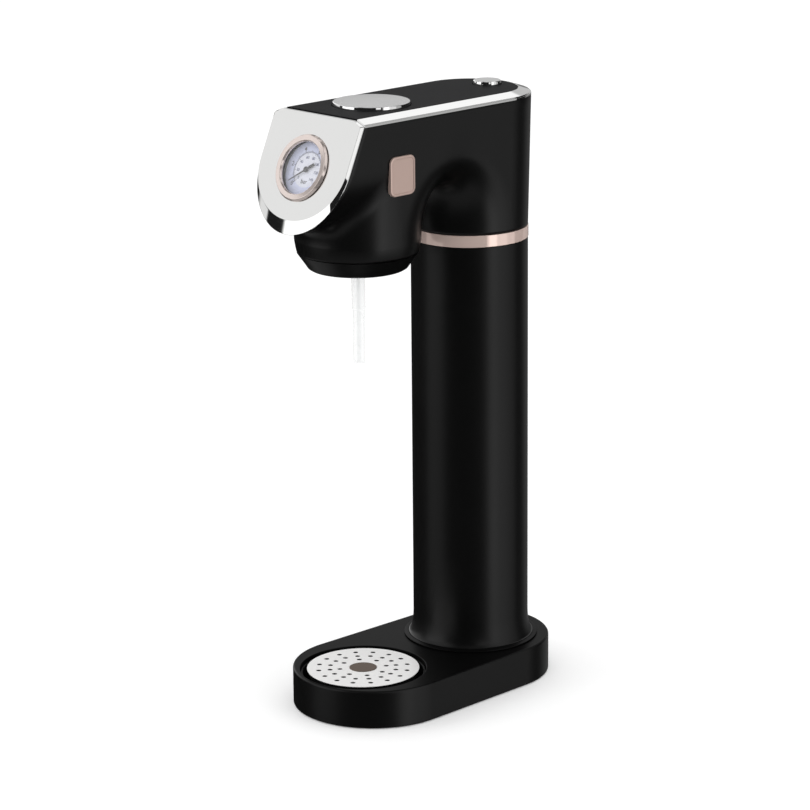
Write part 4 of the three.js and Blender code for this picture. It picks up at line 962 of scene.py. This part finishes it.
def makeSpring(name, size, mover, node):  # a coil of wire from the frame below up to the mover above, baked where it is drawn
    radius, reach, low, high = (size[key] for key in ("radius", "reach", "low", "high"))
    wire, steps = spring["wire"], spring["turns"] * spring["turnSteps"]
    path = []
    for i in range(steps + 1):
        a = math.tau * i / spring["turnSteps"]
        path.append((radius * math.cos(a), radius * math.sin(a) + reach,
                     low + wire + (high - low - 2 * wire) * i / steps))
    bm = bmesh.new()
    addRod(bm, path, wire)
    ends = {"a": "frame", "b": mover, "start": columnFrame @ Vector((0, reach, low)),
            "end": columnFrame @ Vector((0, reach, high))}
    finishPiece(name, bm, "steel", ends, [node])


makeFascia()
makeTrim()
makeCover()
makeButton()
makeSpring("return_coil", buttonSpring, "button", "button_spring")
makeSpring("knob_coil", knobSpring, "release", "release_spring")
makeSidePlate()
print("fascia, trim, cover, button, knob and side plate made")


# Nozzle, socket and tube

nozzle = {
    "collarTop": 317.4,
    "collarBottom": 306.3,
    "mouth": 24.5,
    "flange": 329.7,  # underside of the nozzle body, which carries socket, seal and nut
    "socketBottom": 307.0,
    "socketRadius": 23.8,
    "socketBore": 20.4,
    "threadBore": 19.3,
    "threadPitch": 4.0,
    "sealRadius": 19.2,
    "sealBore": 9.2,
    "sealBottom": 326.5,
}
tube = {
    "nutReach": 8.5,
    "nutBottom": 316.7,
    "top": 316.4,
    "radius": 4.65,
    "step": 279.0,  # below this the tube is thinner
    "tipRadius": 4.1,
    "tip": 241.5,
    "bore": 1.2,
    "spigot": 3.5,
    "spigotBottom": 305.7,
}


def makeNozzle():
    top, low, mouth = nozzle["collarTop"], nozzle["collarBottom"], nozzle["mouth"]
    outer = [(31.6, low), (33.3, low + 1.0, 1.2), (36.2, low + 5.3, 6.0), (40.3, top)]
    profile = [(mouth, low, 0.6), *outer, (38.1, top), (mouth, low + 2.2)]
    spunPiece("collar_ring", profile, "shell", "frame", ["nozzle_collar"], nozzleFrame, 128, 8)
    low, top, bore, radius = (nozzle[key] for key in ("socketBottom", "flange", "socketBore", "socketRadius"))
    thread = []
    for i in range(3):  # rounded ridges of the bottle's thread
        foot = low + nozzle["threadPitch"] * (2.5 - i)
        thread += [(bore, foot + 2.4, 0.3), (nozzle["threadBore"], foot + 1.2, 0.5), (bore, foot, 0.3)]
    profile = [(bore, low, 0.4), (radius, low, 0.4), (radius, top), (bore, top), *thread]
    spunPiece("threaded_socket", profile, "inner", "frame", ["bottle_socket"], nozzleFrame)
    low, bore, radius = (nozzle[key] for key in ("sealBottom", "sealBore", "sealRadius"))
    profile = [(bore, low, 0.5), (radius, low, 0.5), (radius, top), (bore, top)]
    spunPiece("sealing_ring", profile, "rubber", "frame", ["bottle_seal"], nozzleFrame)


def makeTube():
    reach, low, high = tube["nutReach"], tube["nutBottom"], nozzle["flange"]
    corners = [math.tau * i / 6 for i in range(6)]  # six-sided nut
    rim = softened([(reach * math.cos(a), reach * math.sin(a), 0.8) for a in corners], 3)
    bore = circlePoints(0, 0, tube["spigot"], len(rim))
    bm = bmesh.new()
    rows = [lifted(rim, z, scale) for scale, z in ((0.94, low), (1.0, low + 0.7), (1.0, high))]
    addGrid(bm, rows, wrap=True)
    addPlate(bm, [[spot * 0.94 for spot in rim], bore], low)
    addPlate(bm, [rim, bore], high)
    addGrid(bm, [lifted(bore, z) for z in (low, high)], wrap=True)
    finishPiece("hex_nut", bm, "grey", "frame", ["tube_nut"], nozzleFrame)
    bore, tip, foot, step, radius = (tube[key] for key in ("bore", "tipRadius", "tip", "step", "radius"))
    spigot, low, top = tube["spigot"], tube["spigotBottom"], tube["top"]
    profile = [(bore, foot, 0.4), (tip, foot, 0.8), (tip, step - 1, 2.0), (radius, step, 2.0),
               (radius, top, 0.3), (spigot, top), (spigot, low), (bore, low)]
    spunPiece("filling_tube", profile, "tube", "frame", ["carbonating_tube"], nozzleFrame, 64)


makeNozzle()
makeTube()
print("nozzle made")


# Pressure gauge, drawn in the fascia's plane round its own axis

gauge = {
    "bezel": 22.5,
    "glass": 17.5,
    "proud": 2.2,
    "caseBore": 19.5,
    "caseRadius": 20.7,
    "caseDepth": 20.0,
    "inletBore": 4.3,
    "dialDepth": 4.5,
    "dialRadius": 19.2,
    "dialHole": 1.1,
    "needleDepth": 3.0,
    "needleTip": 16.2,
    "needleTail": 7.4,
    "needleRest": 215.0,
    "scaleStart": 225.0,  # degrees, anticlockwise from the right
    "scaleSweep": 270.0,
    "scaleRadius": 11.8,
    "numbers": ["0", "2", "4", "6", "8", "10"],
    "numberRadius": 14.6,
    "numberHeight": 3.0,
    "innerNumbers": ["0", "20", "40", "60", "80", "100", "120", "140"],
    "innerRadius": 8.4,
    "innerHeight": 1.9,
    "unitDrop": 8.0,
}
gaugeFrame = fasciaFrame @ Matrix.Translation((0, -fascia["gaugeDrop"], 0))


def dialFinish():
    made = Finish("printed dial", **{"Specular IOR Level": 0.3})
    centre = gaugeFrame @ Vector((0, 0, -gauge["dialDepth"]))
    apart = made.node("VectorMath", {"operation": "DISTANCE"}, {0: made.where(), 1: tuple(centre)}, output=1)
    cloud = made.noise(90.0, 2.0)
    inside, outside, pale = (colour(finishLooks[key]) for key in ("dialInside", "dialOutside", "dialCloud"))
    ground = made.blend(apart < (gauge["scaleRadius"] * 0.001), inside, outside)
    return made.set(Base_Color=made.blend(cloud * 0.3, ground, pale), Roughness=0.5 + cloud * 0.1)


finishes["dial"] = dialFinish()
finishes["ink"] = paintedFinish("printed ink", finishLooks["ink"], 0.5, 2500.0)
finishes["blueInk"] = paintedFinish("printed blue ink", finishLooks["blueInk"], 0.5, 2500.0)


def makeGaugeBody():
    glass, bezel, proud = gauge["glass"], gauge["bezel"], gauge["proud"]
    spunPiece("gauge_rim", [(glass, 0.3), (bezel, 0.3), (bezel, 0.9, 0.3), (bezel - 1.0, 0.3 + proud, 0.5),
                            (glass + 0.7, 0.1 + proud, 0.4), (glass, 1.2, 0.4)],
              "roseBezel", "frame", ["gauge_bezel"], gaugeFrame, 128, 6)
    bore, outer, inlet, back = gauge["caseBore"], gauge["caseRadius"], gauge["inletBore"], -gauge["caseDepth"]
    spunPiece("gauge_cup", [(inlet, back), (outer, back, 1.0), (outer, 0), (bore, 0), (bore, back + 1.2),
                            (inlet, back + 1.2)], "inner", "frame", ["gauge_case"], gaugeFrame)
    pane = bore - 0.3
    spunPiece("gauge_glass", [(0, -1.6), (pane, -1.6), (pane, -0.4, 0.3), (0, -0.4)], "lens", "frame",
              ["gauge_lens"], gaugeFrame)
    low, hole, edge = -gauge["dialDepth"], gauge["dialHole"], gauge["dialRadius"]
    spunPiece("dial_face", [(hole, low - 0.6), (edge, low - 0.6), (edge, low), (hole, low)], "dial", "frame",
              ["gauge_dial"], gaugeFrame)


def makeFigure(name, words, size, spot, look):
    text = bpy.data.curves.new(name, "FONT")
    text.body = words
    text.align_x = text.align_y = "CENTER"
    text.size = size * 1.4
    text.extrude = 0.04
    text.offset = 0.05
    lettered = bpy.data.objects.new(name, text)
    bpy.context.scene.collection.objects.link(lettered)
    bpy.context.view_layer.update()
    mesh = bpy.data.meshes.new_from_object(lettered)
    bpy.data.objects.remove(lettered)
    bm = bmesh.new()
    bm.from_mesh(mesh)
    bm.transform(Matrix.Translation((*spot, -gauge["dialDepth"])))
    finishPiece(name, bm, look, "frame", [], gaugeFrame)


def makeScale():
    marks, fine = bmesh.new(), bmesh.new()
    ring = gauge["scaleRadius"]
    sunk, proud = -gauge["dialDepth"] - 0.05, -gauge["dialDepth"] + 0.03

    def angleOf(share):
        return math.radians(gauge["scaleStart"] - gauge["scaleSweep"] * share)

    def addMark(bm, share, inner, outer, broad):
        turn = Matrix.Rotation(angleOf(share), 2)
        corners = [turn @ Vector((r, side * broad))
                   for r, side in ((inner, -1), (outer, -1), (outer, 1), (inner, 1))]
        addGrid(bm, [lifted(corners, z) for z in (sunk, proud)], wrap=True)
        bm.faces.new([bm.verts.new(p) for p in lifted(corners, proud)])

    steps = (len(gauge["numbers"]) - 1) * 10
    for i in range(steps + 1):
        long, broad = (1.3, 0.24) if i % 10 == 0 else (1.0, 0.16) if i % 5 == 0 else (0.7, 0.1)
        addMark(marks, i / steps, ring + 0.2, ring + 0.2 + long, broad)
    steps = (len(gauge["innerNumbers"]) - 1) * 4
    for i in range(steps + 1):
        long, broad = (1.1, 0.14) if i % 4 == 0 else (0.6, 0.08)
        addMark(fine, i / steps, ring - 0.2 - long, ring - 0.2, broad)
    for inner, outer, target in ((ring + 0.1, ring + 0.3, marks), (ring - 0.3, ring - 0.1, fine)):
        rows = []
        for i in range(73):
            a = angleOf(i / 72)
            rows.append([(r * math.cos(a), r * math.sin(a), z)
                         for r, z in ((inner, sunk), (inner, proud), (outer, proud), (outer, sunk))])
        addGrid(target, rows)
    finishPiece("scale_marks", marks, "ink", "frame", [], gaugeFrame)
    finishPiece("scale_arcs", fine, "blueInk", "frame", [], gaugeFrame)
    for kind, figures, r, size, look in (
            ("figure", gauge["numbers"], gauge["numberRadius"], gauge["numberHeight"], "ink"),
            ("fine_figure", gauge["innerNumbers"], gauge["innerRadius"], gauge["innerHeight"], "blueInk")):
        for i, words in enumerate(figures):
            a = angleOf(i / (len(figures) - 1))
            makeFigure(f"{kind}_{i}", words, size, (r * math.cos(a), r * math.sin(a)), look)
    makeFigure("unit_word", "bar", gauge["numberHeight"], (0, -gauge["unitDrop"]), "ink")


def makeNeedle():
    bm = bmesh.new()
    turn = Matrix.Rotation(math.radians(gauge["needleRest"]), 3, "Z")
    low, high = -gauge["needleDepth"] - 0.5, -gauge["needleDepth"]
    tip, tail = gauge["needleTip"], gauge["needleTail"]
    side = [(-tail, 0.5), (-tail + 0.3, 0.9), (-3.2, 0.95), (-2.2, 0.5), (0, 0.52), (tip - 0.3, 0.14),
            (tip, 0.0)]
    outline = side + [(x, -y) for x, y in reversed(side[:-1])]
    addGrid(bm, [[turn @ Vector((x * s, y * s, z)) for x, y in outline] for s, z in
                 ((1, low), (1, high - 0.1), (0.985, high))], wrap=True)
    for z, s in ((low, 1), (high, 0.985)):
        bm.faces.new([bm.verts.new(turn @ Vector((x * s, y * s, z))) for x, y in outline])
    addSpun(bm, softened([(0, low), (1.9, low), (1.9, high + 0.35, 0.3), (0, high + 0.5)], 4), 48)
    finishPiece("pointer", bm, "ink", "needle", ["gauge_needle"], gaugeFrame)


makeGaugeBody()
makeScale()
makeNeedle()
print("gauge made")


# Finishes for the working parts inside, which stay as packed

insideLooks = {
    "brass": ["gauge_frame", "bourdon_tube", "gauge_pinion", "sector_gear", "cylinder_valve", "valve_block",
              "relief_valve_body", "safety_valve"],
    "steel": ["gauge_link", "cylinder_pin", "push_pin", "actuating_lever", "lever_pivot_pin", "gas_line",
              "gauge_line"],
    "grey": ["neck_sleeve", "cylinder_guide", "button_stem", "nozzle_body"],
    "inner": ["button_guide"],
    "rubber": ["cylinder_seal"],
}
for look, names in insideLooks.items():
    for name in names:
        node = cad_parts[name]
        node.data.materials.clear()
        node.data.materials.append(finishes[look].material)


# Floor, light and camera

studio = {
    "floorHalf": 8.0,
    "lamps": [  # name, spot, size, power
        ("key_light", (-1.6, -1.9, 1.7), (1.2, 1.2), 7.0),
        ("fill_light", (2.3, 0.2, 0.9), (0.5, 1.8), 3.0),
        ("top_light", (0.2, 0.3, 2.4), (1.6, 1.6), 5.0),
    ],
    "lampTarget": (0, 0, 0.25),
    "roomLight": 0.95,  # what lights the object from all round
    "mirrorRoom": 0.012,  # what polish sees of the room between its lamps
    "softboxes": [  # azimuth and half width, lowest and highest elevation in degrees, strength
        (102, 22, -30, 60, 0.8),
        (134, 10, -30, 60, 0.45),
        (92, 8, -30, 25, 0.7),
        (-25, 31, 12, 45, 0.86),
        (-45, 25, 45, 68, 0.9),
        (67, 7, 3, 24, 1.0),
        (50, 22, 28, 60, 0.2),
        (134, 24, 42, 70, 0.8),
        (-27, 21, -8, 12, 1.4),
        (-28, 19, -26, -6, 0.3),
        (-5, 95, -64, -34, 0.3),
        (226, 34, 4, 60, 0.55),
        (268, 32, -3, 45, 0.8),
        (206, 30, 27, 62, 0.5),
        (200, 26, -30, 4, 0.2),
    ],
    "ceiling": (72, 82, 0.6),
    "peak": 1.5,  # no lamp of the room is stronger
}
view = {
    "azimuth": 45.98,
    "elevation": 15.18,
    "roll": -0.5,
    "away": 2.2003,
    "target": (0, -0.0023488, 0.215),
    "lens": 144.77,
    "shift": (-0.00265, -0.02047),
}


def softStep(tree, value, low, high):
    return tree.node("MapRange", {"interpolation_type": "SMOOTHSTEP"},
                     {"Value": value, "From Min": low, "From Max": high, "To Min": 0.0, "To Max": 1.0})


def makeFloor():
    bm = bmesh.new()
    half = studio["floorHalf"]
    addGrid(bm, [[(x, y, 0) for x in (-half, half)] for y in (-half, half)])
    mesh = bpy.data.meshes.new("studio_floor")
    bm.to_mesh(mesh)
    bm.free()
    floor = bpy.data.objects.new("studio_floor", mesh)
    bpy.context.scene.collection.objects.link(floor)
    look = Finish("studio floor", **{"Roughness": 0.9, "Specular IOR Level": 0.05})
    seen = look.node("LightPath", output="Is Camera Ray")
    look.set(Base_Color=look.blend(look.noise(3.0) * 0.2, (0.93, 0.93, 0.93, 1), (0.9, 0.9, 0.9, 1)),
             Emission_Color=look.blend(seen, (0, 0, 0, 1), (0.17, 0.17, 0.17, 1)))
    look.surface.inputs["Emission Strength"].default_value = 1.0
    mesh.materials.append(look.material)
    floor.visible_glossy = False  # polish sees the room's lamps, not the floor


def makeRoom():
    world = bpy.data.worlds.new("studio")
    bpy.context.scene.world = world
    world.use_nodes = True
    room = NodeTree(world.node_tree)
    ground = world.node_tree.nodes["Background"]
    camera, glossy, through = (room.node("LightPath", output=f"Is {kind} Ray")
                               for kind in ("Camera", "Glossy", "Transmission"))
    x, y, z = room.axes(room.node("TexCoord", output=0))
    level = (x * x + y * y + 0.0001) ** 0.5

    def patch(azimuth, halfWide, low, high, strength):
        turn = math.radians(azimuth)
        along = (x * math.sin(turn) - y * math.cos(turn)) / level
        edges = [math.cos(math.radians(halfWide + 1)), math.cos(math.radians(halfWide - 1))]
        band = [math.sin(math.radians(max(angle, -89.9))) for angle in (low - 2, low + 2, high - 2, high + 2)]
        return (softStep(room, along, *edges) * softStep(room, z, band[0], band[1])
                * (1.0 - softStep(room, z, band[2], band[3])) * strength)

    low, high, strength = studio["ceiling"]
    mirror = softStep(room, z, math.sin(math.radians(low)), math.sin(math.radians(high))) * strength
    mirror = mirror + studio["mirrorRoom"]
    for spot in studio["softboxes"]:
        mirror = mirror + patch(*spot)
    shown = (camera + through).clamped()
    diffuse = (1.0 - shown) * (1.0 - glossy) * studio["roomLight"]
    light = shown + diffuse + glossy * (1.0 - shown) * mirror
    peak = studio["peak"]
    room.feed(ground.inputs["Color"], room.blend(light / peak, (0, 0, 0, 1), (peak, peak, peak, 1)))
    ground.inputs["Strength"].default_value = 1.0


def addLamp(name, spot, size, power):
    lamp = bpy.data.lights.new(name, "AREA")
    lamp.shape = "RECTANGLE"
    lamp.size, lamp.size_y = size
    lamp.energy = power
    holder = bpy.data.objects.new(name, lamp)
    holder.location = spot
    holder.rotation_euler = (Vector(studio["lampTarget"]) - Vector(spot)).to_track_quat("-Z", "Y").to_euler()
    holder.visible_glossy = False  # polish sees the room's soft boxes instead
    bpy.context.scene.collection.objects.link(holder)


def makeCamera():
    azimuth, pitch, roll = (math.radians(view[key]) for key in ("azimuth", "elevation", "roll"))
    level = math.cos(pitch)
    back = Vector((math.sin(azimuth) * level, -math.cos(azimuth) * level, math.sin(pitch)))
    right = Vector((math.cos(azimuth), math.sin(azimuth), 0))
    up = back.cross(right)
    turnedRight = right * math.cos(roll) + up * math.sin(roll)
    turnedUp = up * math.cos(roll) - right * math.sin(roll)
    camera = bpy.data.cameras.new("photo_camera")
    camera.sensor_width = 36
    camera.lens = view["lens"]
    camera.shift_x, camera.shift_y = view["shift"]
    camera.clip_end = 50
    holder = bpy.data.objects.new("photo_camera", camera)
    rows = Matrix((turnedRight, turnedUp, back)).transposed().to_4x4()
    holder.matrix_world = Matrix.Translation(Vector(view["target"]) + back * view["away"]) @ rows
    bpy.context.scene.collection.objects.link(holder)
    bpy.context.scene.camera = holder


makeFloor()
makeRoom()
for lampValues in studio["lamps"]:
    addLamp(*lampValues)
makeCamera()
bpy.context.scene.view_settings.view_transform = "Standard"
print("studio made")
